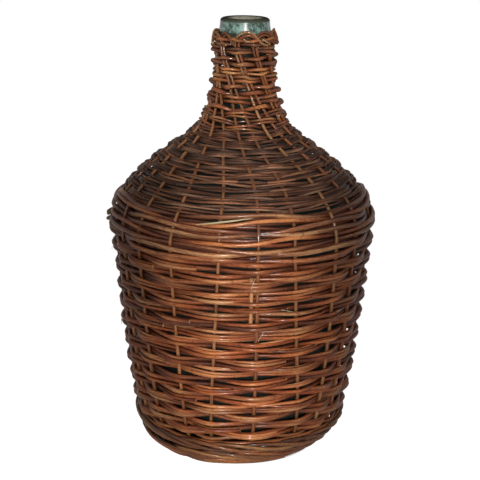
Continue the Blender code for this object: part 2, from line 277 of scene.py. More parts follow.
@dataclass(frozen=True)
class WillowFinish:
    """Varnished willow: three shades, how much its grain shows, how much wear and painted light lift it in
    front and darken it behind, and how much painted shade darkens it where rods touch.

    The values in capitals are the same for every willow. Lengths along a rod are in metres.
    """

    STREAKS = Grain(2.6, 30.0, 1.5, 5.0, 0.70)
    FLECKS = Grain(5.0, 190.0, 1.3, 4.0, 0.68)
    PATCH_ALONG = 15.0
    TONE_REACH = 91.0
    KNOT_BY_TONE, KNOT_BY_PATCH = 17.0, 2.2
    KNOT_EDGE, KNOT_PATCHES = (0.010, 0.040), (0.40, 0.60)
    BY_TONE, BY_PATCH, BY_STREAK, BY_FLECK = 0.58, 1.10, 1.60, 1.30
    START_SHADE, KNOT_SHADE = 0.22, 0.12
    TOUCHING = (0.60, 1.0)
    TO_MIDDLE, TO_BRIGHT = (0.08, 0.55), (0.52, 1.02)
    BARE_FLECK, BARE_SHARE = (0.72, 0.78), 0.5
    CUT = (0.2, 0.8)
    ROUGH_STREAK, ROUGH_FLECK, ROUGH_KNOT = 0.25, 0.2, 0.1
    HIGH_STREAK, HIGH_FLECK, HIGH_KNOT = 0.7, 0.6, 0.6
    BUMP_DEPTH, BUMP_STRENGTH = 0.0009, 0.85
    GLOSS_FADES = (0.10, 0.65)
    TAN, RUDDY, HUE_BEAT = (0.93, 1.14, 1.30), (1.07, 0.86, 0.70), 7.3

    name: str
    slot: str
    deep: Colour
    middle: Colour
    bright: Colour
    lift: float = 0.0
    knot_spacing: float = 0.048
    roughness: float = 0.42
    coat: float = 0.32
    coat_rough: float = 0.22
    specular: float = 0.07
    wear_and_painted_light: float = 0.50
    crevice_shade: float = 0.36
    pith: Colour = (0.50, 0.32, 0.15)

    def material(self) -> bpy.types.Material:
        """Build the willow material.

        Returns:
            A Principled material that reads what each rod carries: its run, ring, tone, front and core.
        """
        material, bench = blank_material(self.name)
        run, tone, front, core = (bench.attribute(name) for name in ("run", "tone", "front", "core"))
        ring = bench.split(bench.attribute("ring", "Vector"))
        own = tone * self.TONE_REACH
        streak = self.STREAKS.wire(bench, ring, run, own)
        fleck = self.FLECKS.wire(bench, ring, run, own)
        patch = bench.noise(bench.combine(own, 0.0, run * self.PATCH_ALONG), 1.0, 2.0)
        beat = run * (1.0 / self.knot_spacing) + tone * self.KNOT_BY_TONE + patch * self.KNOT_BY_PATCH
        knot = (1.0 - (beat.fraction() - 0.5).size().rise(*self.KNOT_EDGE)) * patch.rise(*self.KNOT_PATCHES)
        shade = tone * self.BY_TONE + patch.about(self.BY_PATCH)
        shade = shade + streak.about(self.BY_STREAK) + fleck.about(self.BY_FLECK)
        # Wear and painted light together: where a rod lies out in front (front near 1) it is painted lighter,
        # and where it runs behind the stakes it is painted darker, as shade.
        shade = shade + front.about(self.wear_and_painted_light) + (self.START_SHADE + self.lift) - knot * self.KNOT_SHADE
        # Painted shade: the sides of each rod that lie against the rods above and below (ring y near 1 or -1)
        # are darkened in the base colour.
        shade = shade - ring[1].size().rise(*self.TOUCHING) * self.crevice_shade
        colour = bench.mix(shade.rise(*self.TO_MIDDLE), self.deep, self._varied(bench, tone, self.middle))
        colour = bench.mix(shade.rise(*self.TO_BRIGHT), colour, self._varied(bench, tone, self.bright))
        colour = bench.mix(fleck.rise(*self.BARE_FLECK) * self.BARE_SHARE, colour, self.pith)
        colour = bench.mix(core.rise(*self.CUT), colour, self.pith)
        rough = streak.about(self.ROUGH_STREAK) + fleck.about(self.ROUGH_FLECK) + self.roughness
        height = streak * self.HIGH_STREAK + fleck * self.HIGH_FLECK + knot * self.HIGH_KNOT
        sockets = {
            "Base Color": colour,
            "Roughness": rough + knot * self.ROUGH_KNOT,
            "Normal": bench.bump(height, self.BUMP_DEPTH, self.BUMP_STRENGTH),
            "Coat Weight": (1.0 - bench.facing().rise(*self.GLOSS_FADES)) * self.coat,
            "Coat Roughness": self.coat_rough,
            "Specular IOR Level": self.specular,
        }
        shader = bench.node("ShaderNodeBsdfPrincipled", None, sockets)
        bench.node("ShaderNodeOutputMaterial", None, {"Surface": shader.outputs[0]})
        return material

    def _varied(self, bench: Bench, tone: Wire, colour: Colour) -> Wire:
        """A colour that is redder on some rods and yellower on others."""
        tan, ruddy = (tuple(np.multiply(colour, by).tolist()) for by in (self.TAN, self.RUDDY))
        return bench.mix((tone * self.HUE_BEAT).fraction(), tan, ruddy)


@dataclass(frozen=True)
class GlassFinish:
    """Old blown glass: mottled aqua at the lip and dusty in the mouth; below the lip, inside the wicker, it
    is painted near-black with a green tint as shade.

    Distances are in metres, from the mouth, the bore or the underside of the lip.
    """

    CLOUDS = Grain(1.5, 1.2, 78.0, 5.0, 0.70)
    SEEDS = Grain(1.0, 0.8, 420.0, 3.0, 0.60)
    RIPPLES = Grain(1.0, 0.4, 60.0, 2.0, 0.50)

    name: str = "aqua_glass"
    slot: str = "bottle_glass"
    body: Colour = (0.006, 0.009, 0.008)
    deep: Colour = (0.020, 0.046, 0.037)
    aqua: Colour = (0.265, 0.440, 0.365)
    olive: Colour = (0.085, 0.092, 0.066)
    dust: Colour = (0.38, 0.35, 0.28)
    clear: float = 0.10
    lip_shine: float = 0.60
    body_shine: float = 0.10
    roughness: float = 0.31
    cloud_rough: float = 0.14
    dull_rough: float = 0.4
    seed_share: float = 0.7
    mottle: Span = (0.38, 0.62)
    thick_edge: Span = (0.45, 0.90)
    edge_share: float = 0.75
    rim_band: Span = (0.0036, 0.0016)
    worn_band: Span = (0.0030, 0.0014)
    lip_shade: float = 0.0040
    lip_shade_share: float = 0.7
    neck_fade: Span = (0.010, 0.001)
    bore_edge: Span = (0.0003, 0.0010)
    dust_depth: float = 0.05
    dusty: Span = (0.30, 0.90)
    ripple_depth: float = 0.0015
    ripple_strength: float = 0.4
    body_tint: float = 0.08

    def material(self, lip_foot: float, mouth: float, bore: float) -> bpy.types.Material:
        """Build the glass material.

        Args:
            lip_foot: Height of the underside of the lip.
            mouth: Height of the mouth.
            bore: Radius of the bore.

        Returns:
            A glossy, partly clear material whose colour follows the height.
        """
        material, bench = blank_material(self.name)
        x, y, z = bench.split(bench.place())
        spread = bench.length(bench.combine(x, y, 0.0))
        layers = (self.CLOUDS, self.SEEDS, self.RIPPLES)
        cloud, seed, ripple = (layer.wire(bench, (x, y), z) for layer in layers)
        thin = 1.0 - bench.facing().rise(*self.thick_edge) * self.edge_share
        mottle = (cloud + seed.about(self.seed_share)).rise(*self.mottle)
        colour = bench.mix(mottle * thin, self.deep, self.aqua)
        under = (1.0 - z.rise(lip_foot, lip_foot + self.lip_shade)) * self.lip_shade_share
        colour = bench.mix(z.rise(*(mouth - depth for depth in self.rim_band)) + under, colour, self.olive)
        inside = 1.0 - spread.rise(*(bore + past for past in self.bore_edge))
        inside = inside * z.rise(lip_foot - self.dust_depth, lip_foot)
        colour = bench.mix(inside, colour, bench.mix(cloud.rise(*self.dusty), self.dust, self.olive))
        bump = bench.bump(ripple, self.ripple_depth, self.ripple_strength)
        rough = cloud.about(self.cloud_rough) + self.roughness
        lip = self._glass(bench, colour, rough, bump, self.clear, self.lip_shine)
        # Painted shade: below the lip the glass gets a near-black colour in place of its own aqua, standing
        # in for the shade inside the wicker.
        dark = bench.mix(cloud * self.body_tint, self.body, self.deep)
        body = self._glass(bench, dark, rough, bump, 0.0, self.body_shine)
        both = bench.blend(z.rise(*(lip_foot - depth for depth in self.neck_fade)), body, lip)
        dull = self._glass(bench, colour, rough + self.dull_rough, bump, 0.0, 0.0)
        # The top of the rim and the inside of the bore are dull glass with no reflection, as worn glass is.
        wear_and_painted_light = z.rise(*(mouth - depth for depth in self.worn_band)).larger(inside)
        both = bench.blend(wear_and_painted_light, both, dull)
        bench.node("ShaderNodeOutputMaterial", None, {"Surface": both.outputs[0]})
        return material

    @staticmethod
    def _glass(
        bench: Bench, colour: Wire, rough: Wire, bump: Wire, clear: float, shine: float
    ) -> bpy.types.Node:
        """Add one Principled shader of glass.

        Args:
            bench: The material's bench.
            colour: The base colour.
            rough: The roughness.
            bump: The normal.
            clear: How much light goes through.
            shine: The strength of its reflections.

        Returns:
            The shader node.
        """
        sockets = {
            "Base Color": colour,
            "Roughness": rough,
            "Normal": bump,
            "Transmission Weight": clear,
            "Specular IOR Level": shine,
        }
        return bench.node("ShaderNodeBsdfPrincipled", None, sockets)


class Willow(Enum):
    """The kinds of willow in the basket."""

    STAKE = WillowFinish(
        "stake_willow", "stake_willow", (0.065, 0.019, 0.007), (0.215, 0.068, 0.021), (0.440, 0.180, 0.065),
        coat=0.65, coat_rough=0.20, crevice_shade=0.0,
    )
    BODY = WillowFinish(
        "body_willow", "body_willow", (0.048, 0.012, 0.005), (0.227, 0.061, 0.020), (0.520, 0.225, 0.088),
        knot_spacing=0.040,
    )
    WAIST = WillowFinish(
        "waist_willow", "waist_willow", (0.046, 0.014, 0.008), (0.205, 0.057, 0.021), (0.580, 0.260, 0.100),
        lift=0.02, coat=0.45, coat_rough=0.25,
    )
    NECK = WillowFinish(
        "neck_willow", "waist_willow", (0.056, 0.016, 0.006), (0.230, 0.066, 0.018), (0.580, 0.255, 0.085),
        lift=0.02, coat=0.65, coat_rough=0.14, crevice_shade=0.50,
    )
    SHOULDER = WillowFinish(
        "shoulder_willow", "shoulder_willow",
        (0.026, 0.014, 0.010), (0.122, 0.055, 0.034), (0.450, 0.215, 0.112),
        lift=0.07, roughness=0.52, coat=0.10, specular=0.06, wear_and_painted_light=0.30,
    )
    PEELED = WillowFinish(
        "peeled_willow", "stake_willow", (0.20, 0.13, 0.06), (0.38, 0.26, 0.13), (0.54, 0.40, 0.22),
        lift=0.1, crevice_shade=0.0,
    )
    BASE = WillowFinish(
        "base_willow", "base_willow", (0.034, 0.012, 0.006), (0.176, 0.056, 0.019), (0.430, 0.174, 0.058),
        lift=-0.06,
    )


@dataclass
class Strand:
    """One rod, as the points along its middle and what it carries there."""

    points: np.ndarray
    girth: np.ndarray
    # front runs from 0 behind the stakes to 1 in front; the willow material paints it lighter in front and
    # darker behind, wear and painted light together.
    front: np.ndarray
    tone: float
    closed: bool = False

    def with_cut_ends(self) -> tuple[np.ndarray, np.ndarray, np.ndarray, np.ndarray]:
        """Add a point close to each end, so that the pale wood stays on the cut.

        Returns:
            The points, girth, front and core along the rod.
        """
        points, girth, front = self.points, self.girth, self.front
        core = np.zeros(len(points))
        if self.closed:
            return points, girth, front, core
        near = 0.25 * MM
        for end, inner in ((0, 1), (-1, -2)):
            run = points[inner] - points[end]
            spot = points[end] + run * (near / max(np.linalg.norm(run), near))
            place = 1 if end == 0 else len(points) - 1
            points = np.insert(points, place, spot, axis=0)
            girth = np.insert(girth, place, girth[end])
            front = np.insert(front, place, front[end])
            core = np.insert(core, place, 0.0)
            core[end] = 1.0
        return points, girth, front, core


class RodSweep:
    """The Geometry Nodes tree that turns lines into rods with uneven bark."""

    RUN_BY_TONE = 3.0
    BARK_SCALE = 210.0
    INPUTS = {
        "Sides": "NodeSocketInt",
        "Bark Depth": "NodeSocketFloat",
        "Bark Scale": "NodeSocketFloat",
        "Seed": "NodeSocketFloat",
        "Finish": "NodeSocketMaterial",
    }

    def __init__(self) -> None:
        """Build the tree once, for every piece."""
        self.tree = bpy.data.node_groups.new("rod_sweep", "GeometryNodeTree")
        face, shape = self.tree.interface, "NodeSocketGeometry"
        face.new_socket(name="Geometry", in_out="OUTPUT", socket_type=shape)
        face.new_socket(name="Geometry", in_out="INPUT", socket_type=shape)
        self.sockets = {
            name: face.new_socket(name=name, in_out="INPUT", socket_type=kind).identifier
            for name, kind in self.INPUTS.items()
        }
        bench = Bench(self.tree)
        given = bench.node("NodeGroupInput").outputs
        girth = self._carried(bench, "girth")
        rods = self._swept(bench, given, girth)
        bark = self._barked(bench, given, girth, rods)
        smooth = bench.node("GeometryNodeSetShadeSmooth", None, {"Geometry": bark.outputs[0]})
        sockets = {"Geometry": smooth.outputs[0], "Material": given["Finish"]}
        finish = bench.node("GeometryNodeSetMaterial", None, sockets)
        real = bench.node("GeometryNodeRealizeInstances", None, {"Geometry": finish.outputs[0]})
        bench.node("NodeGroupOutput", None, {"Geometry": real.outputs[0]})

    @staticmethod
    def _carried(bench: Bench, name: str) -> Wire:
        """A value that the line's points carry."""
        kind = "GeometryNodeInputNamedAttribute"
        return bench.wire(kind, "Attribute", {"data_type": "FLOAT"}, {"Name": name})

    @staticmethod
    def _stored(bench: Bench, kind: str, shape: bpy.types.Node, name: str, value: object) -> bpy.types.Node:
        """Store a value of a kind on a shape's points, under a name."""
        sockets = {"Geometry": shape.outputs[0], "Name": name, "Value": value}
        return bench.node("GeometryNodeStoreNamedAttribute", {"data_type": kind, "domain": "POINT"}, sockets)

    def _swept(self, bench: Bench, given: bpy.types.bpy_prop_collection, girth: Wire) -> bpy.types.Node:
        """Sweep a circle along the lines.

        Args:
            bench: The tree's bench.
            given: The tree's inputs.
            girth: The rod's radius along its line.

        Returns:
            The node that gives the rods, which carry their run and their ring.
        """
        curve = bench.node("GeometryNodeMeshToCurve", None, {"Mesh": given["Geometry"]})
        length = Wire(bench, bench.node("GeometryNodeSplineParameter").outputs["Length"])
        run = length + self._carried(bench, "tone") * self.RUN_BY_TONE
        line = self._stored(bench, "FLOAT", curve, "run", run)
        sockets = {"Resolution": given["Sides"], "Radius": 1.0}
        circle = bench.node("GeometryNodeCurvePrimitiveCircle", None, sockets)
        where = bench.wire("GeometryNodeInputPosition")
        profile = self._stored(bench, "FLOAT_VECTOR", circle, "ring", where)
        sockets = {
            "Curve": line.outputs[0],
            "Profile Curve": profile.outputs[0],
            "Scale": girth,
            "Fill Caps": True,
        }
        return bench.node("GeometryNodeCurveToMesh", None, sockets)

    @staticmethod
    def _barked(
        bench: Bench, given: bpy.types.bpy_prop_collection, girth: Wire, rods: bpy.types.Node
    ) -> bpy.types.Node:
        """Push the bark in and out.

        Args:
            bench: The tree's bench.
            given: The tree's inputs.
            girth: The rod's radius along its line.
            rods: The node that gives the rods.

        Returns:
            The node that gives the uneven rods.
        """
        seed = bench.combine(given["Seed"], 0.0, 0.0)
        spot = bench.wire("GeometryNodeInputPosition")
        moved = bench.wire("ShaderNodeVectorMath", 0, {"operation": "ADD"}, {0: spot, 1: seed})
        sockets = {"Vector": moved, "Scale": given["Bark Scale"], "Detail": 2.0}
        bark = bench.wire("ShaderNodeTexNoise", 0, None, sockets)
        depth = (bark - 0.5) * girth * Wire(bench, given["Bark Depth"])
        normal = bench.wire("GeometryNodeInputNormal")
        push = bench.wire("ShaderNodeVectorMath", 0, {"operation": "SCALE"}, {0: normal, "Scale": depth})
        return bench.node("GeometryNodeSetPosition", None, {"Geometry": rods.outputs[0], "Offset": push})

    def piece(
        self,
        name: str,
        strands: Sequence[Strand],
        finish: bpy.types.Material,
        sides: int = 8,
        bark_depth: float = 0.16,
    ) -> bpy.types.Object:
        """Sweep strands into one plain mesh.

        Args:
            name: The piece's name.
            strands: The rods that it holds.
            finish: Their material.
            sides: Faces round each rod.
            bark_depth: Unevenness, as a share of a rod's radius.

        Returns:
            The piece, at the origin, with its modifier gone.
        """
        guide = add_object(name + "_lines", self._lines(name, strands))
        modifier = guide.modifiers.new("Sweep", "NODES")
        modifier.node_group = self.tree
        seed = sum(ord(letter) for letter in name) * 0.01
        values = (sides, bark_depth, self.BARK_SCALE, seed, finish)
        for key, value in zip(self.INPUTS, values):
            modifier[self.sockets[key]] = value
        graph = bpy.context.evaluated_depsgraph_get()
        mesh = bpy.data.meshes.new_from_object(guide.evaluated_get(graph))
        mesh.name = name
        bpy.data.objects.remove(guide, do_unlink=True)
        return add_object(name, mesh)

    @staticmethod
    def _lines(name: str, strands: Sequence[Strand]) -> bpy.types.Mesh:
        """Put strands in one mesh of edges.

        Args:
            name: The piece's name.
            strands: The rods that it holds.

        Returns:
            A mesh whose points carry girth, front, core and tone.
        """
        spots, edges, carried = [], [], {"girth": [], "front": [], "core": [], "tone": []}
        for strand in strands:
            points, girth, front, core = strand.with_cut_ends()
            first, count = len(spots), len(points)
            spots.extend(points.tolist())
            edges.extend((first + i, first + i + 1) for i in range(count - 1))
            if strand.closed:
                edges.append((first + count - 1, first))
            for key, values in (("girth", girth), ("front", front), ("core", core)):
                carried[key].extend(values.tolist())
            carried["tone"].extend([strand.tone] * count)
        lines = bpy.data.meshes.new(name + "_lines")
        lines.from_pydata(spots, edges, [])
        for key, values in carried.items():
            lines.attributes.new(key, "FLOAT", "POINT").data.foreach_set("value", values)
        return lines


def even(values: np.ndarray, passes: int = 1) -> np.ndarray:
    """Smooth a row of values or points, leaving its two ends.

    Args:
        values: The values, one to a place along the row.
        passes: How many times to smooth.

    Returns:
        A smoothed copy.
    """
    values = values.copy()
    for _ in range(passes):
        values[1:-1] = (values[:-2] + 2 * values[1:-1] + values[2:]) / 4
    return values


def ease(share: np.ndarray | float) -> np.ndarray | float:
    """A smooth step from 0 to 1."""
    share = np.clip(share, 0.0, 1.0)
    return share * share * (3 - 2 * share)


def hump(at: np.ndarray, middle: float, width: float) -> np.ndarray:
    """A smooth hump, 1 at its middle."""
    return np.exp(-(((at - middle) / width) ** 2))


def around(radius: np.ndarray | float, angle: np.ndarray, height: np.ndarray) -> np.ndarray:
    """Points round the middle of the bottle, with angle 0 at the front."""
    return np.stack([radius * np.sin(angle), -radius * np.cos(angle), height], axis=-1)


def full_circle(steps: int) -> np.ndarray:
    """Even angles once round."""
    return np.linspace(0.0, FULL_TURN, steps + 1)[:-1]


class Survey:
    """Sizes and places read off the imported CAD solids."""

    RIM_BELOW_MOUTH = 0.0195
    MEASURED_BELOW_MOUTH = 0.0265
    LIP_HEIGHT = 0.0160
    HEEL_HEIGHTS = (0.0098, 0.050, 14)
    SIDE_START, SIDE_STEP = 0.054, 0.004
    BUTT_OUT, BUTT_UP = 0.0004, 0.0020
    BEHIND_FRONT = -0.05
    SMOOTHING = 6
    SHOULDER_FULLNESS = (0.0028, 0.315, 0.022)
    THROAT_WAIST = (-0.0020, 0.345, 0.014)
    BUTT_RADIUS, RADIUS_LOST = 0.0021, 0.00065
    LEAST_WALL = 0.0022
    AT_STAKE = 0.02

    def __init__(self) -> None:
        """Measure the glass, the stakes and the courses."""
        self.corners = {name: self._triangles(node) for name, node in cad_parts.items()}
        low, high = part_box("glass_bottle")
        self.glass_foot, self.mouth = low.z, high.z
        self.lip_foot = self.mouth - self.LIP_HEIGHT
        self.rim = self.mouth - self.RIM_BELOW_MOUTH
        top = self.mouth - self.MEASURED_BELOW_MOUTH
        heights = np.concatenate([
            np.linspace(*self.HEEL_HEIGHTS), np.arange(self.SIDE_START, top, self.SIDE_STEP),
        ])
        names = [f"stake_{stake + 1:02d}" for stake in range(STAKES)]
        lines = np.array([[self.middle(name, z) for z in heights] for name in names])
        reach = np.hypot(lines[:, :, 0], lines[:, :, 1]).mean(axis=0)
        turns = np.unwrap(np.arctan2(lines[:, :, 0], -lines[:, :, 1]), axis=1)
        turns += np.where(turns[:, :1] < self.BEHIND_FRONT, FULL_TURN, 0.0)
        butt_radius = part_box("base_disc")[1].x + self.BUTT_OUT
        butt_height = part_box("stake_01")[0].z + self.BUTT_UP
        heights = np.concatenate([[butt_height], heights, [self.rim]])
        reach = np.concatenate([[butt_radius], reach, [reach[-1]]])
        turns = np.hstack([turns[:, :1], turns, turns[:, -1:]])
        self.heights, self.reach = even(heights), even(reach, self.SMOOTHING)
        for more, height, width in (self.SHOULDER_FULLNESS, self.THROAT_WAIST):
            self.reach = self.reach + more * hump(self.heights, height, width)
        self.turns = np.array([even(line, self.SMOOTHING) for line in turns])
        steps = np.hypot(np.diff(self.heights), np.diff(self.reach))
        self.runs = np.concatenate([[0.0], np.cumsum(steps)])
        self.total = self.runs[-1]
        rise, spread = np.gradient(self.heights, self.runs), np.gradient(self.reach, self.runs)
        size = np.hypot(rise, spread)
        self.out_r, self.out_z = rise / size, -spread / size

    @staticmethod
    def _triangles(node: bpy.types.Object) -> np.ndarray:
        """Read a node's mesh.

        Args:
            node: The CAD node's object.

        Returns:
            The three corners of each triangle.
        """
        mesh = node.data
        mesh.calc_loop_triangles()
        spots = np.empty(len(mesh.vertices) * 3)
        mesh.vertices.foreach_get("co", spots)
        index = np.empty(len(mesh.loop_triangles) * 3, np.int32)
        mesh.loop_triangles.foreach_get("vertices", index)
        return spots.reshape(-1, 3)[index].reshape(-1, 3, 3)

    def cut(self, name: str, height: float) -> np.ndarray:
        """Cut a node with a level plane.

        Args:
            name: The node.
            height: The plane's height.

        Returns:
            A pair of points for each triangle that the plane crosses.
        """
        corners = self.corners[name]
        above = corners[:, :, 2] > height
        crossing = above.any(axis=1) & ~above.all(axis=1)
        corners, above = corners[crossing], above[crossing]
        lone = np.where(above.sum(axis=1) == 1, above.argmax(axis=1), above.argmin(axis=1))
        order = (lone[:, None] + np.arange(3)) % 3
        a, b, c = (corners[np.arange(len(corners)), order[:, i]] for i in range(3))
        ends = []
        for other in (b, c):
            share = (height - a[:, 2]) / (other[:, 2] - a[:, 2])
            ends.append(a + (other - a) * share[:, None])
        return np.stack(ends, axis=1)

    def middle(self, name: str, height: float) -> np.ndarray:
        """Find the middle of a stake.

        Args:
            name: The stake's node.
            height: The height to find it at.

        Returns:
            Its x and y.
        """
        pairs = self.cut(name, height)
        weights = np.linalg.norm(pairs[:, 1] - pairs[:, 0], axis=1) + 1e-9
        return np.average(pairs.mean(axis=1), axis=0, weights=weights)[:2]

    def glass_radii(self, height: float) -> tuple[float, float]:
        """Measure the glass.

        Args:
            height: The height to measure at.

        Returns:
            Its outer and its inner radius, the inner one 0 where the glass is solid.
        """
        spots = self.cut("glass_bottle", height).reshape(-1, 3)
        radii = np.hypot(spots[:, 0], spots[:, 1])
        outer = radii.max()
        inner = radii[radii < outer - self.LEAST_WALL]
        return float(outer), float(inner.max()) if len(inner) else 0.0

    def run_at(self, height: float) -> float:
        """How far up the stakes a height is."""
        return float(np.interp(height, self.heights, self.runs))

    def run_of(self, name: str) -> float:
        """How far up the stakes a course is, from its solid."""
        low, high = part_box(name)
        return self.run_at((low.z + high.z) / 2)

    def tilt(self, run: float) -> float:
        """How far the face of the basket leans up here, in radians."""
        return math.atan2(np.interp(run, self.runs, self.out_z), np.interp(run, self.runs, self.out_r))

    def angle(self, stake: int, run: float | np.ndarray) -> float | np.ndarray:
        """The direction of a stake here; stakes past the last go round again."""
        turn, stake = divmod(stake, STAKES)
        return np.interp(run, self.runs, self.turns[stake]) + turn * FULL_TURN

    def stake_girth(self, run: float | np.ndarray) -> float | np.ndarray:
        """Half the thickness of a stake here."""
        return self.BUTT_RADIUS - self.RADIUS_LOST * np.asarray(run) / self.total

    def spot(self, run: np.ndarray, out: np.ndarray | float, angle: np.ndarray) -> np.ndarray:
        """Find points on the basket.

        Args:
            run: How far up the stakes they are.
            out: How far outwards of the stakes' middles.
            angle: Their direction.

        Returns:
            The points in space.
        """
        radius = np.interp(run, self.runs, self.reach) + np.interp(run, self.runs, self.out_r) * out
        height = np.interp(run, self.runs, self.heights) + np.interp(run, self.runs, self.out_z) * out
        past = np.maximum(np.asarray(run) - self.total, 0.0)
        return around(radius, angle, height + past)

    def sides(self, name: str) -> list[int]:
        """Read from a course's solid how it is woven.

        Args:
            name: The course's node.

        Returns:
            For each stake, 1 where the course passes outside it and -1 where it passes inside.
        """
        run = self.run_of(name)
        spots = self.corners[name].reshape(-1, 3)
        turns = np.arctan2(spots[:, 0], -spots[:, 1])
        reach = np.interp(np.interp(spots[:, 2], self.heights, self.runs), self.runs, self.reach)
        out = np.hypot(spots[:, 0], spots[:, 1]) - reach
        sides = []
        for stake in range(STAKES):
            away = np.angle(np.exp(1j * (turns - self.angle(stake, run))))
            sides.append(1 if out[np.abs(away) < self.AT_STAKE].mean() > 0 else -1)
        return sides


@dataclass
class Rod:
    """One rod of a course.

    It has its distance up from the course's middle, its radius and its shade. It fans out from
    its course between the stakes, and stands proud of it.
    """

    lift: float
    girth: float
    tone: float
    fan: float = 0.0
    proud: float = 0.0


@dataclass(frozen=True)
class Lay:
    """How rods are laid in a course.

    Where a rod passes outside a stake it dips by its zigzag, and where it passes inside it rises
    by it. It wobbles slowly, is pressed down unevenly by its jitter at each stake, and runs
    between the stakes in an even wave where stiff is 0 and straight where it is 1.
    """

    zigzag: float = 0.0
    wobble: float = 0.0003
    jitter: float = 0.0003
    stiff: float = 0.7


class Weaver:
    """Lays rods round the stakes."""

    STEPS = 8
    SLACK = 0.0001
    SPILL = 0.2
    TAPER = 0.22
    UNEVEN = 0.05
    TIP_GIRTH = 0.35
    TIP_STEPS, PROUD_STEPS = 0.9, 0.8
    HIDDEN = 0.3

    def __init__(self, survey: Survey, seed: int) -> None:
        """Keep the survey and seed the draws."""
        self.survey = survey
        self.draw = random.Random(seed)

    def waves(self, size: float, turns: Sequence[float]) -> Callable[[np.ndarray], np.ndarray]:
        """Make a slow wobble along a rod.

        Args:
            size: How large each of its waves may be.
            turns: How many times each wave swings in a full turn.

        Returns:
            The wobble, as a function of how many stakes the rod has passed.
        """
        draw = self.draw
        parts = [(size * draw.uniform(0.5, 1.0), turn, draw.uniform(0, FULL_TURN)) for turn in turns]
        return lambda u: sum(a * np.sin(u / STAKES * FULL_TURN * n + p) for a, n, p in parts)

    def round_rod(
        self,
        run: float,
        sides: Sequence[int],
        rod: Rod,
        lay: Lay = Lay(),
        tuck: float = 0.0,
        span: Span | None = None,
    ) -> Strand:
        """Lay one rod in front of and behind the stakes, once round unless it has a span.

        Args:
            run: How far up the stakes the course is.
            sides: Which side of each stake it passes.
            rod: Its place in the course, radius and shade.
            lay: How straight and how evenly it lies.
            tuck: How far its last end moves aside from its first.
            span: The stakes that it starts and ends at, where it doesn't go all the way round.

        Returns:
            The rod's strand.
        """
        survey, draw = self.survey, self.draw
        inner = [stake for stake in range(STAKES) if sides[stake] < 0]
        hidden = [stake for stake in inner if math.cos(survey.angle(stake, run)) < self.HIDDEN]
        join = draw.choice(hidden or inner or list(range(4, STAKES - 4)))
        low, high = span or (join - self.SPILL, join + STAKES + self.SPILL)
        marks = np.arange(math.floor(low), math.ceil(high) + 1)
        u = np.linspace(low, high, round((high - low) * self.STEPS) + 1)
        at = np.clip(np.floor(u).astype(int), marks[0], marks[-1] - 1) - marks[0]
        plain = u - at - marks[0]
        share = plain * lay.stiff + ease(plain) * (1 - lay.stiff)
        gone = (u - low) / (high - low)
        girth = rod.girth * (1 + self.TAPER * (0.5 - gone) * draw.choice((1, -1)))
        girth = girth * (1 + self.UNEVEN * self.waves(1.0, (7, 13))(u))
        if span:
            blunt = 1.0 if rod.proud else ease((high - u) / self.TIP_STEPS)
            point = ease((u - low) / self.TIP_STEPS) * blunt
            girth = girth * (self.TIP_GIRTH + (1 - self.TIP_GIRTH) * point)
        side = np.array([sides[mark % STAKES] for mark in marks], float)
        sway = side[at] * (1 - share) + side[at + 1] * share
        out = sway * (survey.stake_girth(run) + rod.girth + self.SLACK)
        out = out + rod.proud * ease((u - low) / self.PROUD_STEPS)
        press = np.array([draw.uniform(-lay.jitter, lay.jitter) for _ in marks])
        press = press[at] * (1 - plain) + press[at + 1] * plain
        bent = side[at] * (1 - plain) + side[at + 1] * plain
        up = run + rod.lift - bent * lay.zigzag + press + self.waves(lay.wobble, (1, 3, 5, 9))(u)
        last = ease((u - (high - self.SPILL - self.TIP_STEPS)) / self.TIP_STEPS)
        up = up + rod.fan * (1 - np.abs(bent)) + last * tuck
        turns = np.array([survey.angle(int(mark), run) for mark in marks])
        angle = turns[at] * (1 - plain) + turns[at + 1] * plain
        # The front value is 1 outside a stake and 0 inside, which the material turns into painted light and
        # shade.
        return Strand(even(survey.spot(up, out, angle)), girth, (sway + 1) / 2, rod.tone)


def settle(piece: bpy.types.Object, slot: str, *nodes: str) -> None:
    """Tie a piece to the body and let it take the place of its CAD nodes.

    Args:
        piece: The finished piece.
        slot: The name of the material slot of its finish; not used.
        *nodes: The CAD nodes that it stands for.
    """
    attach(piece, ROOT)
    if nodes:
        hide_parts(*nodes)
    faces = len(piece.data.polygons)
    LOG.info("%s: %d faces, stands for %s", piece.name, faces, ", ".join(nodes) or "nothing")


@dataclass
class Workshop:
    """What every class needs: the survey, the sweep and one material of each willow."""

    survey: Survey
    sweep: RodSweep
    finishes: dict[Willow, bpy.types.Material] = field(default_factory=dict)

    def lay(self, name: str, strands: Sequence[Strand], willow: Willow, *nodes: str, **look: float) -> None:
        """Sweep strands into a piece and settle it.

        Args:
            name: The piece's name.
            strands: The rods that it holds.
            willow: Their kind.
            *nodes: The CAD nodes that it stands for.
            **look: Sides and bark depth, where they aren't the usual ones.
        """
        if willow not in self.finishes:
            self.finishes[willow] = willow.value.material()
        piece = self.sweep.piece(name, strands, self.finishes[willow], **look)
        settle(piece, willow.value.slot, *nodes)


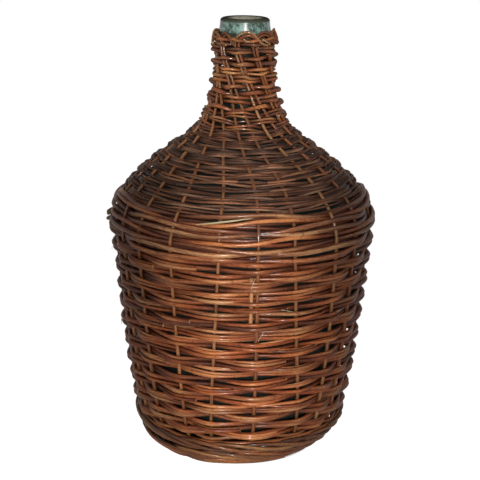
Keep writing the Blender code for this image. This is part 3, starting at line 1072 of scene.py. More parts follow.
@dataclass
class GlassBottle:
    """The bottle, turned again with a fine round outline and a real wall.

    Each line is of radii, and of heights above the foot of the glass or of the lip.
    """

    workshop: Workshop
    rings: int = 128
    lip_top: float = 0.0256
    lip_round: float = 0.0038
    lip_flat: float = 0.9
    lip_steps: int = 8
    bore: float = 0.0174
    bore_round: float = 0.0022
    bore_steps: int = 5
    crown: float = 0.0007
    smoothing: int = 4
    side_start: float = 0.036
    side_step: float = 0.006
    side_top: float = 0.003
    under_lip: float = 0.0012
    bore_below_lip: float = 0.006
    inner_foot: float = 0.0085
    heel: Sequence[float] = (0.0008, 0.003, 0.006, 0.010, 0.015, 0.021, 0.028)
    push_up: Sequence[Span] = (
        (0.0, 0.012), (0.015, 0.0105), (0.030, 0.0045), (0.040, 0.0004), (0.052, 0.0),
    )
    floor: Sequence[Span] = ((0.055, 0.0068), (0.040, 0.0070), (0.0, 0.0182))
    lip_side: Sequence[Span] = (
        (0.0245, 0.0002), (0.0262, 0.0012), (0.0267, 0.0035), (0.0264, 0.0065), (0.0259, 0.0092),
    )

    def outline(self) -> list[Span]:
        """Draw the outline.

        Returns:
            Radius and height from the push-up, out, up, over the lip, down inside and to the floor.
        """
        survey = self.workshop.survey
        foot, mouth, lip_foot = survey.glass_foot, survey.mouth + self.crown, survey.lip_foot
        side = np.arange(foot + self.side_start, lip_foot - self.side_top, self.side_step)
        heights = np.concatenate([foot + np.array(self.heel), side])
        radii = np.array([survey.glass_radii(z) for z in heights])
        outer, inner = even(radii[:, 0], self.smoothing), even(radii[:, 1], self.smoothing)
        line = [(r, foot + z) for r, z in self.push_up]
        line += list(zip(outer, heights))
        line += [(outer[-1], lip_foot - self.under_lip)]
        line += [(r, lip_foot + z) for r, z in self.lip_side]
        for step in range(self.lip_steps + 1):
            bend = step / self.lip_steps * math.pi / 2
            drop = self.lip_round * self.lip_flat * (1 - math.sin(bend))
            line.append((self.lip_top - self.lip_round * (1 - math.cos(bend)), mouth - drop))
        for step in range(1, self.bore_steps + 1):
            bend = step / self.bore_steps * math.pi / 2
            drop = self.bore_round * (1 - math.cos(bend))
            line.append((self.bore + self.bore_round * (1 - math.sin(bend)), mouth - drop))
        line.append((self.bore, lip_foot - self.bore_below_lip))
        within = [(r, z) for r, z in zip(inner, heights) if r > self.bore and z > foot + self.inner_foot]
        line += reversed(within)
        line += [(r, foot + z) for r, z in self.floor]
        return [(float(r), float(z)) for r, z in line]

    def build(self) -> None:
        """Turn the outline and dress it."""
        spots, faces, rows = [], [], []
        for radius, height in self.outline():
            if radius == 0.0:
                rows.append([len(spots)] * self.rings)
                spots.append((0.0, 0.0, height))
                continue
            rows.append(list(range(len(spots), len(spots) + self.rings)))
            turns = full_circle(self.rings)
            spots += around(radius, turns, np.full(self.rings, height)).tolist()
        for low, high in zip(rows, rows[1:]):
            for step in range(self.rings):
                after = (step + 1) % self.rings
                face = list(dict.fromkeys((low[step], low[after], high[after], high[step])))
                if len(face) > 2:
                    faces.append(face)
        mesh = bpy.data.meshes.new("blown_bottle")
        mesh.from_pydata(spots, [], faces)
        mesh.shade_smooth()
        survey, finish = self.workshop.survey, GlassFinish()
        mesh.materials.append(finish.material(survey.lip_foot, survey.mouth, self.bore))
        settle(add_object("blown_bottle", mesh), finish.slot, "glass_bottle")


@dataclass
class Stakes:
    """The twenty uprights, each with its tip bent over the next pair at the crown.

    A stake strays to the side in slow waves, by metres and by radians a metre. Its tip is laid
    out by shares of its way to the next pair.
    """

    workshop: Workshop
    seed: int = 11
    step: float = 0.0045
    last_step: float = 0.002
    straight_foot: float = 0.03
    strays: Span = (0.0001, 0.0005)
    stray_waves: Span = (9, 40)
    bark_depth: float = 0.2
    girth_varies: Span = (0.92, 1.03)
    tones: Span = (0.25, 0.95)
    front: float = 0.62
    tip_girths: Span = (1.1, 0.95)
    tip_past: Span = (0.05, 0.45)
    tip_shares: tuple[float, float, int] = (0.07, 1.0, 15)
    arch_share: float = 0.8
    out_speed: float = 1.4
    arch_rise: float = 0.0068
    rise_varies: Span = (0.8, 1.12)
    second_share: float = 0.74
    front_rise: float = 0.0012
    arch_out: float = 0.0014
    first_out: float = 0.0014
    tail_out: float = 0.0022
    tail_drop: float = 0.0048
    tail_share: float = 0.38

    def build(self) -> None:
        """Lay every stake."""
        survey, draw = self.workshop.survey, random.Random(self.seed)
        runs = np.arange(0.0, survey.total - self.last_step, self.step)
        runs = np.concatenate([runs, [survey.total]])
        reach = np.interp(runs, survey.runs, survey.reach)
        for stake in range(STAKES):
            bend = self._bend(draw)
            angle = survey.angle(stake, runs) + bend(runs) * ease(runs / self.straight_foot) / reach
            points = survey.spot(runs, 0.0, angle)
            girth = survey.stake_girth(runs) * draw.uniform(*self.girth_varies)
            tip = self._tip(stake, float(angle[-1]), draw)
            points = even(np.vstack([points, tip]))
            thick, thin = (girth[-1] * share for share in self.tip_girths)
            girth = np.concatenate([girth, np.linspace(thick, thin, len(tip))])
            strand = Strand(points, girth, np.full(len(points), self.front), draw.uniform(*self.tones))
            number, look = f"{stake + 1:02d}", {"bark_depth": self.bark_depth}
            self.workshop.lay(f"upright_{number}", [strand], Willow.STAKE, f"stake_{number}", **look)

    def _bend(self, draw: random.Random) -> Callable[[np.ndarray], np.ndarray]:
        """Make a stake slightly crooked.

        Args:
            draw: The source of chance.

        Returns:
            How far it strays sideways, as a function of the run.
        """
        ranges = (self.strays, self.stray_waves, (0, FULL_TURN))
        parts = [[draw.uniform(*span) for span in ranges] for _ in range(3)]
        return lambda run: sum(a * np.sin(run * f + p) for a, f, p in parts)

    def _tip(self, stake: int, start: float, draw: random.Random) -> np.ndarray:
        """Arch a tip over to the next pair, where it is cut off outside.

        Args:
            stake: The stake's number, from 0.
            start: Its direction at the top.
            draw: The source of chance.

        Returns:
            The points of the tip.
        """
        survey, second = self.workshop.survey, stake % 2
        next_pair = stake - second + 2
        end = float(survey.angle(next_pair, survey.total)) + draw.uniform(*self.tip_past)
        rise = self.arch_rise * (self.second_share if second else 1.0) * draw.uniform(*self.rise_varies)
        rise += self.front_rise * math.cos(start)
        out = self.arch_out + (0.0 if second else self.first_out)
        share = np.linspace(*self.tip_shares)
        fall = ease((share - (1 - self.tail_share)) / self.tail_share)
        arch = np.sin(np.pi * np.clip(share / self.arch_share, 0, 1))
        height = survey.rim + rise * arch - self.tail_drop * fall
        away = float(survey.reach[-1]) + out * ease(share * self.out_speed) + self.tail_out * fall
        return around(away, start + (end - start) * share, height)


@dataclass(frozen=True)
class Course:
    """The rods of one body course: their places up from its middle, radius and fan."""

    lifts: tuple[float, ...]
    girth: float
    fan: float


@dataclass
class BodyRows:
    """Nineteen courses of plain weave between the foot and the waist.

    The odd courses are thick red rods, the even ones thinner and paler, and every fourth is three
    thin rods. Each course lies a little off the even height of its solid. Lengths of short rods
    are counted in stakes.
    """

    workshop: Workshop
    seed: int = 23
    packing: int = 3
    thick: Course = Course((-0.0027, 0.0027), 0.00255, 0.0001)
    thin: Course = Course((-0.0025, 0.0025), 0.00238, 0.0002)
    triple: Course = Course((-0.0035, 0.0, 0.0035), 0.00180, 0.0002)
    girth_varies: Span = (0.84, 1.10)
    tone_varies: Span = (-0.2, 0.2)
    tuck_gap: float = 0.0002
    rod_lay: Lay = Lay(-0.0007, 0.0006, 0.0010, 1.0)
    packing_lengths: Span = (2.5, 6.0)
    packing_lifts: Span = (0.0040, 0.0052)
    packing_girths: Span = (0.0011, 0.0016)
    packing_tones: Span = (0.1, 0.9)
    packing_lay: Lay = Lay(-0.0007, 0.0004, 0.0008)
    splice_at: float = -0.25
    splice_within: float = 0.95
    splice_lengths: Span = (1.4, 1.75)
    splice_lift: float = 0.0026
    splice_girths: Span = (0.0018, 0.0022)
    splice_proud: float = 0.0030
    splice_lay: Lay = Lay(-0.0007)
    shifts_mm: Sequence[float] = (
        0.3, -0.5, 0.6, -0.9, 0.7, 0.2, -0.8, 0.9, -0.4, 0.5, -1.0, 0.4, 0.8, -0.7, 0.3, -0.6, 0.8, -0.2, 0.1,
    )
    tones: Sequence[float] = (
        0.45, 0.55, 0.42, 0.65, 0.30, 0.60, 0.20, 0.58, 0.18, 0.70, 0.42, 0.62, 0.24, 0.52, 0.28, 0.58, 0.25,
        0.50, 0.30,
    )

    def build(self) -> None:
        """Lay every course."""
        survey = self.workshop.survey
        weaver = Weaver(survey, self.seed)
        for row in range(BODY_ROWS):
            name = f"body_row_{row + 1:02d}"
            run, sides = survey.run_of(name) + self.shifts_mm[row] * MM, survey.sides(name)
            course = self.triple if (row + 1) % 4 == 0 else (self.thin if row % 2 else self.thick)
            strands = [self._rod(weaver, run, sides, course, lift, self.tones[row]) for lift in course.lifts]
            strands += self._packing(weaver, run, sides)
            strands.append(self._splice(weaver, run, sides))
            self.workshop.lay(f"woven_row_{row + 1:02d}", strands, Willow.BODY, name)

    def _rod(
        self, weaver: Weaver, run: float, sides: Sequence[int], course: Course, lift: float, tone: float
    ) -> Strand:
        """Lay one of a course's main rods.

        Args:
            weaver: The weaver who lays it.
            run: How far up the stakes the course is.
            sides: Which side of each stake it passes.
            course: The course's rods.
            lift: This rod's distance up from the course's middle.
            tone: The course's shade.

        Returns:
            The rod's strand.
        """
        draw, sign = weaver.draw, (lift > 0) - (lift < 0)
        tone = min(max(tone + draw.uniform(*self.tone_varies), 0.0), 1.0)
        rod = Rod(lift, course.girth * draw.uniform(*self.girth_varies), tone, sign * course.fan)
        return weaver.round_rod(run, sides, rod, self.rod_lay, sign * (2 * course.girth + self.tuck_gap))

    def _splice(self, weaver: Weaver, run: float, sides: Sequence[int]) -> Strand:
        """Lay a new rod whose cut butt comes out from behind a stake at the front.

        Args:
            weaver: The weaver who lays it.
            run: How far up the stakes the course is.
            sides: Which side of each stake the course passes.

        Returns:
            The rod's strand.
        """
        survey, draw = weaver.survey, weaver.draw
        away = [
            abs(math.remainder(survey.angle(stake, run) - self.splice_at, FULL_TURN))
            for stake in range(STAKES)
        ]
        near = self.splice_within
        starts = [stake for stake in range(STAKES) if sides[stake] < 0 and away[stake] < near]
        start = draw.choice(starts)
        lift, girth = draw.choice((-self.splice_lift, self.splice_lift)), draw.uniform(*self.splice_girths)
        rod = Rod(lift, girth, draw.random(), proud=self.splice_proud)
        span = (start, start + draw.uniform(*self.splice_lengths))
        return weaver.round_rod(run, sides, rod, self.splice_lay, span=span)

    def _packing(self, weaver: Weaver, run: float, sides: Sequence[int]) -> list[Strand]:
        """Lay short thin rods that pack a course, as a weaver adds where it runs low.

        Args:
            weaver: The weaver who lays them.
            run: How far up the stakes the course is.
            sides: Which side of each stake the course passes.

        Returns:
            The rods' strands.
        """
        strands, draw = [], weaver.draw
        for _ in range(self.packing):
            start = draw.uniform(0, STAKES)
            span = (start, start + draw.uniform(*self.packing_lengths))
            lift = draw.choice((-1, 1)) * draw.uniform(*self.packing_lifts)
            rod = Rod(lift, draw.uniform(*self.packing_girths), draw.uniform(*self.packing_tones))
            strands.append(weaver.round_rod(run, sides, rod, self.packing_lay, span=span))
        return strands


@dataclass
class WaistCourses:
    """Four courses of thick glossy rods round the widest part, with two rods that line each."""

    workshop: Workshop
    seed: int = 37
    girth: float = 0.0026
    girth_varies: Span = (0.90, 1.04)
    tones: Span = (0.2, 0.62)
    lifts: Span = (-0.0027, 0.0027)
    rod_lay: Lay = Lay(-0.0004, 0.0013, 0.0010, 0.9)
    lining_girth: float = 0.0024
    lining_tones: Span = (0.25, 0.60)
    lining_lifts: Span = (-0.0004, 0.0054)
    lining_lay: Lay = Lay(0.0, 0.0010, 0.0008)

    def build(self) -> None:
        """Lay every course."""
        survey = self.workshop.survey
        weaver = Weaver(survey, self.seed)
        draw = weaver.draw
        for row in range(WAIST_COURSES):
            name = f"waist_waling_{row + 1}"
            run, sides = survey.run_of(name), survey.sides(name)
            strands = []
            for lift in self.lifts:
                rod = Rod(lift, self.girth * draw.uniform(*self.girth_varies), draw.uniform(*self.tones))
                strands.append(weaver.round_rod(run, sides, rod, self.rod_lay, lift))
            for lift in self.lining_lifts:
                rod = Rod(lift, self.lining_girth, draw.uniform(*self.lining_tones))
                strands.append(weaver.round_rod(run, [-1] * STAKES, rod, self.lining_lay))
            self.workshop.lay(f"waist_course_{row + 1}", strands, Willow.WAIST, name)


@dataclass
class ShoulderBands:
    """Ten bands of thin dark rods up the shoulder.

    The steeper the basket leans back, the more a rod dips where it passes outside a stake, so
    that the bands look level from the front.
    """

    workshop: Workshop
    seed: int = 53
    girth: float = 0.00140
    girth_varies: Span = (0.84, 1.12)
    tones: Span = (0.0, 0.65)
    paler: float = 0.35
    pale_share: float = 0.2
    pitch: float = 0.0027
    places: Sequence[float] = (-1.5, -0.5, 0.5, 1.5)
    fan: float = 0.0002
    dip: float = 0.0020
    level: float = math.radians(16)
    loose: int = 3
    loose_lift: float = 0.0054
    loose_girths: Span = (0.0009, 0.0012)
    loose_tones: Span = (0.4, 1.0)
    loose_lengths: Span = (2.0, 5.0)
    rod_lay: Lay = Lay(0.0, 0.0007, 0.0011, 1.0)
    loose_lay: Lay = Lay(0.0, 0.0004, 0.0008)

    def build(self) -> None:
        """Lay every band."""
        survey = self.workshop.survey
        weaver = Weaver(survey, self.seed)
        draw = weaver.draw
        for band in range(SHOULDER_BANDS):
            name = f"shoulder_band_{band + 1:02d}"
            run, sides = survey.run_of(name), survey.sides(name)
            zigzag = self.dip * math.tan(survey.tilt(run) - self.level)
            rod_lay, loose_lay = (replace(lay, zigzag=zigzag) for lay in (self.rod_lay, self.loose_lay))
            strands = []
            for place in self.places:
                tone = draw.uniform(*self.tones) + (self.paler if draw.random() < self.pale_share else 0.0)
                girth = self.girth * draw.uniform(*self.girth_varies)
                rod = Rod(place * self.pitch, girth, tone, place * self.fan)
                strands.append(weaver.round_rod(run, sides, rod, rod_lay))
            for _ in range(self.loose):
                start = draw.uniform(0, STAKES)
                lift = draw.choice((-self.loose_lift, self.loose_lift))
                rod = Rod(lift, draw.uniform(*self.loose_girths), draw.uniform(*self.loose_tones))
                span = (start, start + draw.uniform(*self.loose_lengths))
                strands.append(weaver.round_rod(run, sides, rod, loose_lay, span=span))
            self.workshop.lay(f"shoulder_weave_{band + 1:02d}", strands, Willow.SHOULDER, name, sides=7)


@dataclass
class NeckWeave:
    """The courses round the neck, in front of one pair of stakes and behind the next.

    Each course is given by its height, its radius in millimetres, its shade, and 1 where it
    passes outside the first pair.
    """

    workshop: Workshop
    seed: int = 71
    rod_lay: Lay = Lay(-0.0003, 0.0005, 0.0005, 1.0)
    tuck: float = 0.0016
    courses: Sequence[tuple[float, float, float, int]] = (
        (0.3518, 1.45, 0.15, 1), (0.3547, 1.40, 0.40, 1), (0.3578, 1.50, 0.10, 0), (0.3607, 1.35, 0.45, 0),
        (0.3640, 1.55, 0.20, 1), (0.3671, 1.45, 0.50, 1), (0.3722, 2.50, 0.40, 0), (0.3785, 2.10, 0.25, 1),
        (0.3826, 1.90, 0.50, 1), (0.3870, 2.80, 0.12, 0), (0.3935, 2.60, 0.08, 1), (0.3996, 1.95, 0.40, 0),
        (0.4036, 1.90, 0.45, 0), (0.4068, 1.50, 0.75, 1), (0.4106, 1.70, 0.80, 1), (0.4168, 2.50, 0.05, 0),
        (0.4222, 2.20, 0.20, 1), (0.4282, 2.10, 0.06, 0), (0.4322, 2.15, 0.02, 0), (0.4366, 2.00, 0.15, 1),
        (0.4402, 1.90, 0.40, 1), (0.4436, 1.70, 0.50, 0),
    )

    def build(self) -> None:
        """Lay every course."""
        weaver = Weaver(self.workshop.survey, self.seed)
        strands = []
        for height, girth, tone, phase in self.courses:
            run = weaver.survey.run_at(height)
            sides = [1 if (stake // 2 + phase) % 2 else -1 for stake in range(STAKES)]
            rod = Rod(0.0, girth * MM, tone)
            strands.append(weaver.round_rod(run, sides, rod, self.rod_lay, self.tuck))
        self.workshop.lay("neck_weave", strands, Willow.NECK, "neck_weaver")


@dataclass
class Foot:
    """The thick twisted rods round the foot, the border under them and the woven base."""

    workshop: Workshop
    seed: int = 89
    girth: float = 0.0023
    bark_depth: float = 0.22
    slump: float = 0.0047
    slump_at: float = math.radians(-55)
    slump_wide: float = 0.6
    rope_turns: int = 5
    rope_out: float = 2.3
    rope_wide: float = 0.6
    rope_high: float = 2.1
    rope_sway: float = 0.0004
    rope_girths: Span = (0.88, 0.07)
    rope_tones: Span = (0.05, 0.95)
    top_lift: float = 0.0012
    outer_filler: Rod = field(default_factory=lambda: Rod(0.0056, 0.0021, 0.4))
    woven_filler: Rod = field(default_factory=lambda: Rod(0.0092, 0.0019, 0.6))
    clearance: float = 0.0004
    border_turns: int = 14
    border_share: float = 0.46
    border_girth: float = 0.52
    border_tones: Span = (0.2, 0.6)
    sag: float = 0.0052
    sag_span: tuple[float, float, int] = (-72, 34, 30)
    sag_at: float = -27
    sag_wide: float = 17
    sag_rods: Sequence[tuple[float, float, float]] = ((0.0002, 0.0032, 0.0027), (0.0008, 0.0085, 0.0024))
    sag_front: float = 0.7
    sag_tones: Span = (0.2, 0.7)
    stick_places: Sequence[float] = (-1.5, -0.5, 0.5, 1.5)
    stick_points: int = 9
    stick_pitch: float = 0.0052
    stick_girth: float = 0.0024
    stick_front: float = 0.4
    stick_tones: Span = (0.2, 0.7)
    base_start: float = 0.0165
    base_edge: float = 0.0028
    base_rings: int = 11
    base_girth: float = 0.0026
    base_tones: Span = (0.1, 0.7)
    spokes: int = 16

    def build(self) -> None:
        """Lay the foot's courses, its border and the base."""
        survey = self.workshop.survey
        draw = random.Random(self.seed)
        weaver = Weaver(survey, self.seed + 1)
        for course in range(FOOT_COURSES):
            name = f"foot_waling_{course + 1}"
            run = survey.run_of(name)
            top = course == FOOT_COURSES - 1
            strands = self._rope(run + (self.top_lift if top else 0.0), 0.0 if top else self.slump, draw)
            if top:
                outside, woven = [1] * STAKES, survey.sides("body_row_02")
                strands.append(weaver.round_rod(run, outside, self.outer_filler, Lay(wobble=0.0005)))
                strands.append(weaver.round_rod(run, woven, self.woven_filler, Lay(wobble=0.0004)))
            look = {"bark_depth": self.bark_depth}
            self.workshop.lay(f"foot_course_{course + 1}", strands, Willow.BASE, name, **look)
        self._border(draw)
        self._base(draw)

    def _rope(self, run: float, slump: float, draw: random.Random) -> list[Strand]:
        """Turn four rods slowly round each other outside the stakes.

        Args:
            run: How far up the stakes the rope is.
            slump: How far it hangs out at the lower left of the front.
            draw: The source of chance.

        Returns:
            The rods' strands.
        """
        survey, strands = self.workshop.survey, []
        angle, phase = full_circle(180), draw.uniform(0, FULL_TURN)
        away = np.angle(np.exp(1j * (angle - self.slump_at)))
        middle = survey.stake_girth(run) + self.rope_out * self.girth
        middle = middle + slump * hump(away, 0.0, self.slump_wide)
        usual, swell = self.rope_girths
        for side in range(4):
            twist = angle * self.rope_turns + phase + side * FULL_TURN / 4
            out = middle + self.girth * self.rope_wide * np.sin(twist)
            sway = self.rope_sway * np.sin(angle * 3 + phase)
            up = run + self.girth * self.rope_high * np.cos(twist) + sway
            girth = self.girth * (usual + swell * np.sin(angle * 2 + phase + side))
            points = survey.spot(up, out, angle)
            points[:, 2] = np.maximum(points[:, 2], girth + self.clearance)
            # front follows how far out each turn lies, so the outer turns are painted lighter and the inner
            # ones darker.
            front = 0.5 + 0.4 * np.sin(twist)
            strands.append(Strand(points, girth, front, draw.uniform(*self.rope_tones), closed=True))
        return strands

    def _border(self, draw: random.Random) -> None:
        """Twist three rods into the ring that the basket stands on, and hang two at its left.

        Args:
            draw: The source of chance.
        """
        low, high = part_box("foot_border")
        thick = (high.z - low.z) / 2
        angle, strands = full_circle(240), []
        for strand in range(3):
            twist = angle * self.border_turns + strand * FULL_TURN / 3
            away = high.x - thick + thick * self.border_share * np.cos(twist)
            height = low.z + thick + thick * self.border_share * np.sin(twist)
            girth, front = np.full(len(angle), thick * self.border_girth), 0.5 + 0.3 * np.cos(twist)
            points = around(away, angle, height)
            strands.append(Strand(points, girth, front, draw.uniform(*self.border_tones), closed=True))
        degrees = np.linspace(*self.sag_span)
        count, sag = len(degrees), hump(degrees, self.sag_at, self.sag_wide)
        for reach, height, girth in self.sag_rods:
            away, up = high.x + reach + self.sag * sag, np.full(count, low.z + height)
            points = around(away, np.radians(degrees), up)
            tone, front = draw.uniform(*self.sag_tones), np.full(count, self.sag_front)
            strands.append(Strand(points, np.full(count, girth), front, tone))
        self.workshop.lay("twisted_border", strands, Willow.BASE, "foot_border")

    def _base(self, draw: random.Random) -> None:
        """Make a round base of crossed sticks with rods woven over and under them.

        Args:
            draw: The source of chance.
        """
        low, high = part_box("base_disc")
        radius, middle, step = high.x, (low.z + high.z) / 2, self.stick_girth
        strands, count = [], self.stick_points
        for layer, turn in ((1, 0.0), (-1, math.pi / 2)):
            for place in self.stick_places:
                off = place * self.stick_pitch
                half = math.sqrt(radius * radius - off * off) - MM
                line = np.linspace(-half, half, count)
                x = line * math.cos(turn) - off * math.sin(turn)
                y = line * math.sin(turn) + off * math.cos(turn)
                points = np.stack([x, y, np.full(count, middle + layer * step)], axis=-1)
                tone, front = draw.uniform(*self.stick_tones), np.full(count, self.stick_front)
                strands.append(Strand(points, np.full(count, step), front, tone))
        angle, count = full_circle(96), self.base_rings
        for ring in range(count):
            reach = self.base_start + ring * (radius - self.base_start - self.base_edge) / (count - 1)
            wave = np.cos(angle * self.spokes / 2 + (ring % 2) * math.pi)
            girth, front = np.full(len(angle), self.base_girth), 0.5 + 0.4 * wave
            points = around(reach, angle, middle + step * wave)
            strands.append(Strand(points, girth, front, draw.uniform(*self.base_tones), closed=True))
        self.workshop.lay("woven_base", strands, Willow.BASE, "base_disc")


@dataclass
class LooseEnds:
    """What a weaver and long use leave: a spliced stake, a pale stray rod, cut and broken ends, fibres.

    The places of the broken ends are height, first and last angle in degrees, and shade. Those of
    the split tips are first and last angle, first and last depth below the mouth, and bow. Those
    of the fibres are angle in degrees, height and lean in degrees. Where a value is a pair for
    out or girth, its second number is what is added or taken away along the rod.
    """

    workshop: Workshop
    seed: int = 97
    spliced: tuple[float, float, float] = (0.170, 0.222, 4.3)
    spliced_points: int = 14
    spliced_girth: float = 0.0020
    spliced_in: float = 0.0002
    spliced_front: float = 0.8
    spliced_tone: float = 0.85
    stray_points: int = 16
    stray_height: float = 0.2785
    stray_angles: Span = (-19, 4)
    stray_climb: Span = (-0.0075, 0.0004)
    stray_out: Span = (0.0068, 0.0010)
    stray_girth: Span = (0.0002, 0.0009)
    stray_taper: Span = (0.35, 0.2)
    broken_points: int = 8
    broken_climb: float = 0.0015
    broken_out: Span = (0.0034, 0.0044)
    broken: Sequence[tuple[float, float, float, float]] = (
        (0.2500, -97, -88, 0.15), (0.2535, -95, -85, 0.35), (0.2475, -91, -84, 0.10),
    )
    broken_girth: float = 0.0021
    tip_points: int = 9
    tip_out: Span = (0.0046, 0.0010)
    tip_girth: Span = (0.0009, 0.0003)
    tips: Sequence[tuple[float, float, float, float, float]] = (
        (-0.17, 0.00, 0.0140, 0.0112, -0.0006), (-0.03, 0.15, 0.0175, 0.0200, 0.0010),
        (0.55, 0.82, 0.0180, 0.0240, 0.0),
    )
    fibres: Sequence[tuple[float, float, float]] = (
        (7.5, 0.158, 62.0), (46.0, 0.176, 10.0), (17.0, 0.190, -12.0), (4.0, 0.214, 75.0),
    )
    more_fibres: int = 9
    more_places: Sequence[Span] = ((60, 320), (0.06, 0.26), (-80, 80))
    fibre_points: int = 7
    fibre_lengths: Span = (0.008, 0.014)
    fibre_reach: float = 0.13
    fibre_out: Span = (0.0066, 0.0016)
    fibre_girth: float = 0.00042
    fibre_taper: float = 0.75

    def build(self) -> None:
        """Lay the loose ends."""
        self.workshop.lay("spliced_stake", [self._spliced()], Willow.STAKE)
        self.workshop.lay("pale_stray_rod", [self._stray()], Willow.PEELED, sides=6)
        self.workshop.lay("broken_ends", self._broken_ends(), Willow.WAIST)
        self.workshop.lay("split_tips", self._split_tips(), Willow.PEELED, sides=6)
        self.workshop.lay("torn_fibres", self._fibres(), Willow.PEELED, sides=5, bark_depth=0.0)

    def _spliced(self) -> Strand:
        """Lay a short piece of stake beside another.

        Returns:
            The stake's strand.
        """
        survey, count, (low, high, degrees) = self.workshop.survey, self.spliced_points, self.spliced
        runs = np.linspace(survey.run_at(low), survey.run_at(high), count)
        points = survey.spot(runs, -self.spliced_in, np.full(count, math.radians(degrees)))
        girth, front = np.full(count, self.spliced_girth), np.full(count, self.spliced_front)
        return Strand(points, girth, front, self.spliced_tone)

    def _stray(self) -> Strand:
        """Lay a thin peeled rod across the top of the waist.

        Returns:
            The rod's strand.
        """
        survey, count = self.workshop.survey, self.stray_points
        angle = np.radians(np.linspace(*self.stray_angles, count))
        up = survey.run_at(self.stray_height) + np.linspace(*self.stray_climb, count)
        (near, bow), (thin, swell), (butt, tip) = self.stray_out, self.stray_girth, self.stray_taper
        out = near + bow * np.sin(np.linspace(0, math.pi, count))
        girth = swell * np.sin(np.linspace(butt, math.pi - tip, count)) + thin
        return Strand(survey.spot(up, out, angle), girth, np.ones(count), 1.0)

    def _broken_ends(self) -> list[Strand]:
        """Make the knob of broken rod ends that stands off the left of the waist.

        Returns:
            The rods' strands.
        """
        survey, count, strands = self.workshop.survey, self.broken_points, []
        share, (near, more) = np.linspace(0.0, 1.0, count), self.broken_out
        for height, start, end, tone in self.broken:
            angle = np.radians(start + (end - start) * share)
            runs = survey.run_at(height) + self.broken_climb * share
            points = survey.spot(runs, near + more * share, angle)
            strands.append(Strand(points, np.full(count, self.broken_girth), np.full(count, 0.5), tone))
        return strands

    def _split_tips(self) -> list[Strand]:
        """Lay the stake tips that were cut off pale at the front of the crown.

        Returns:
            The tips' strands.
        """
        survey, strands = self.workshop.survey, []
        share = np.linspace(0.0, 1.0, self.tip_points)
        arch, (near, more), (thick, lost) = np.sin(share * math.pi), self.tip_out, self.tip_girth
        for low, high, start, end, bow in self.tips:
            reach = survey.reach[-1] + near + more * arch
            height = survey.mouth - start - (end - start) * share - bow * arch
            points = around(reach, low + (high - low) * share, height)
            strands.append(Strand(points, thick - lost * share, np.ones(self.tip_points), 0.5))
        return strands

    def _fibres(self) -> list[Strand]:
        """Make thin pale splinters that stand off the rods.

        Returns:
            The splinters' strands.
        """
        survey, draw, strands = self.workshop.survey, random.Random(self.seed), []
        share, (near, more) = np.linspace(0.0, 1.0, self.fibre_points), self.fibre_out
        girth, front = self.fibre_girth * (1 - self.fibre_taper * share), np.ones(self.fibre_points)
        others = [[draw.uniform(*span) for span in self.more_places] for _ in range(self.more_fibres)]
        for degrees, height, lean in [*self.fibres, *others]:
            length, lean = draw.uniform(*self.fibre_lengths), math.radians(lean)
            up = survey.run_at(height) + share * length * math.sin(lean)
            turn = math.radians(degrees) + share * length * math.cos(lean) / self.fibre_reach
            points = survey.spot(up, near + more * share * share, turn)
            strands.append(Strand(points, girth, front, 1.0))
        return strands


@dataclass(frozen=True)
class Lamp:
    """An area lamp: where it is, where it points, its size, its beam in degrees and its watts."""

    name: str
    place: tuple[float, float, float]
    aim: tuple[float, float, float]
    size: Span
    spread: float
    power: float
    glossy: bool = True

    def hang(self) -> None:
        """Add the lamp to the scene."""
        light = bpy.data.lights.new(self.name, "AREA")
        light.shape, (light.size, light.size_y) = "RECTANGLE", self.size
        light.spread, light.energy = math.radians(self.spread), self.power
        lamp = add_object(self.name, light)
        lamp.location = self.place
        x, y, z = np.subtract(self.aim, self.place)
        lamp.rotation_euler = (math.atan2(math.hypot(x, y), -z), 0.0, math.atan2(-x, y))
        lamp.visible_glossy = self.glossy


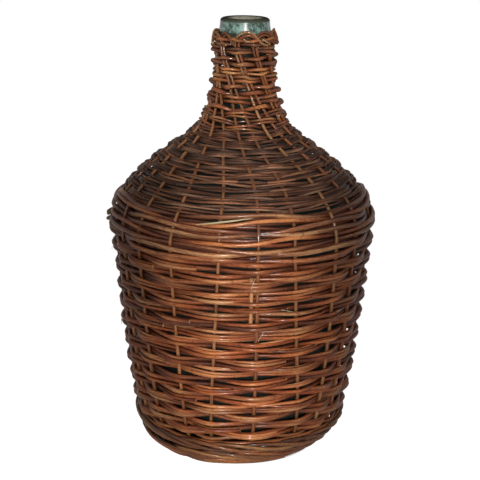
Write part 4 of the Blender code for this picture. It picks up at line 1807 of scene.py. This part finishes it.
@dataclass
class Studio:
    """The white floor, the light from the front and the camera.

    Two narrow soft lamps by the camera light the object as a flash does, and one behind fills in
    its back.
    """

    distance: float = 1.274
    eye_height: float = 0.594
    pitch: float = 16.25
    roll: float = -0.85
    lens: float = 92.1
    sensor: float = 36.0
    shift: float = -0.0147
    clip_start: float = 0.05
    ambient: float = 0.055
    floor_size: float = 8.0
    floor_rough: float = 0.9
    floor_grain: float = 30.0
    floor_greys: Span = (0.66, 0.70)
    floor_glow: Span = (0.98, 0.02)
    glow_from: Span = (0.25, 1.0)
    under_object: Span = (0.083, 0.089)
    lamps: Sequence[Lamp] = (
        Lamp("upper_lamp", (0.04, -1.42, 0.68), (0.0, 0.0, 0.39), (0.06, 0.26), 11.8, 0.130),
        Lamp("lower_lamp", (0.04, -1.42, 0.52), (0.0, 0.0, 0.10), (0.06, 0.26), 11.8, 0.208),
        Lamp("back_lamp", (0.0, 1.42, 0.60), (0.0, 0.0, 0.24), (0.25, 0.35), 24.0, 0.42, glossy=False),
    )

    def build(self) -> None:
        """Set up everything but the object."""
        bpy.context.scene.view_settings.view_transform = "Standard"
        self._floor()
        self._world()
        for lamp in self.lamps:
            lamp.hang()
        self._camera()

    def _floor(self) -> None:
        """Lay a white floor that keeps the object's shadow."""
        half = self.floor_size / 2
        mesh = bpy.data.meshes.new("floor")
        corners = [(-half, -half, 0.0), (half, -half, 0.0), (half, half, 0.0), (-half, half, 0.0)]
        mesh.from_pydata(corners, [], [(0, 1, 2, 3)])
        material, bench = blank_material("floor_white")
        dark, pale = ((grey, grey, grey) for grey in self.floor_greys)
        colour = bench.mix(bench.noise(bench.place(), self.floor_grain), dark, pale)
        sockets = {"Base Color": colour, "Roughness": self.floor_rough, "Specular IOR Level": 0.0}
        plain = bench.node("ShaderNodeBsdfPrincipled", None, sockets)
        away, (near, more) = bench.length(bench.place()), self.floor_glow
        share = bench.seen() * (near + away.rise(*self.glow_from) * more) * away.rise(*self.under_object)
        glow = bench.node("ShaderNodeEmission", None, {"Color": WHITE, "Strength": 1.0})
        glow = bench.blend(share, None, glow)
        both = bench.node("ShaderNodeAddShader", None, {0: plain.outputs[0], 1: glow.outputs[0]})
        bench.node("ShaderNodeOutputMaterial", None, {"Surface": both.outputs[0]})
        mesh.materials.append(material)
        add_object("floor", mesh)

    def _world(self) -> None:
        """Make the world white where it is seen, and a soft even light elsewhere."""
        world = bpy.data.worlds.new("studio")
        bpy.context.scene.world = world
        world.use_nodes = True
        world.node_tree.nodes.clear()
        bench = Bench(world.node_tree)
        soft, white = (
            bench.node("ShaderNodeBackground", None, {"Color": WHITE, "Strength": strength})
            for strength in (self.ambient, 1.0)
        )
        both = bench.blend(bench.seen(), soft, white)
        bench.node("ShaderNodeOutputWorld", None, {"Surface": both.outputs[0]})

    def _camera(self) -> None:
        """Put the camera at the photograph's viewing angle."""
        data = bpy.data.cameras.new("camera")
        data.lens, data.sensor_width, data.shift_x = self.lens, self.sensor, self.shift
        data.clip_start = self.clip_start
        camera = add_object("camera", data)
        camera.location = (0.0, -self.distance, self.eye_height)
        camera.rotation_euler = (math.radians(90 - self.pitch), math.radians(self.roll), 0.0)
        bpy.context.scene.camera = camera


def main() -> None:
    """Build the studio and then the demijohn, from the glass outwards."""
    logging.basicConfig(level=logging.INFO, format="%(message)s")
    Studio().build()
    workshop = Workshop(Survey(), RodSweep())
    for part in (
        GlassBottle, Stakes, BodyRows, WaistCourses, ShoulderBands, NeckWeave, Foot, LooseEnds,
    ):
        part(workshop).build()


if __name__ == "__main__":
    main()
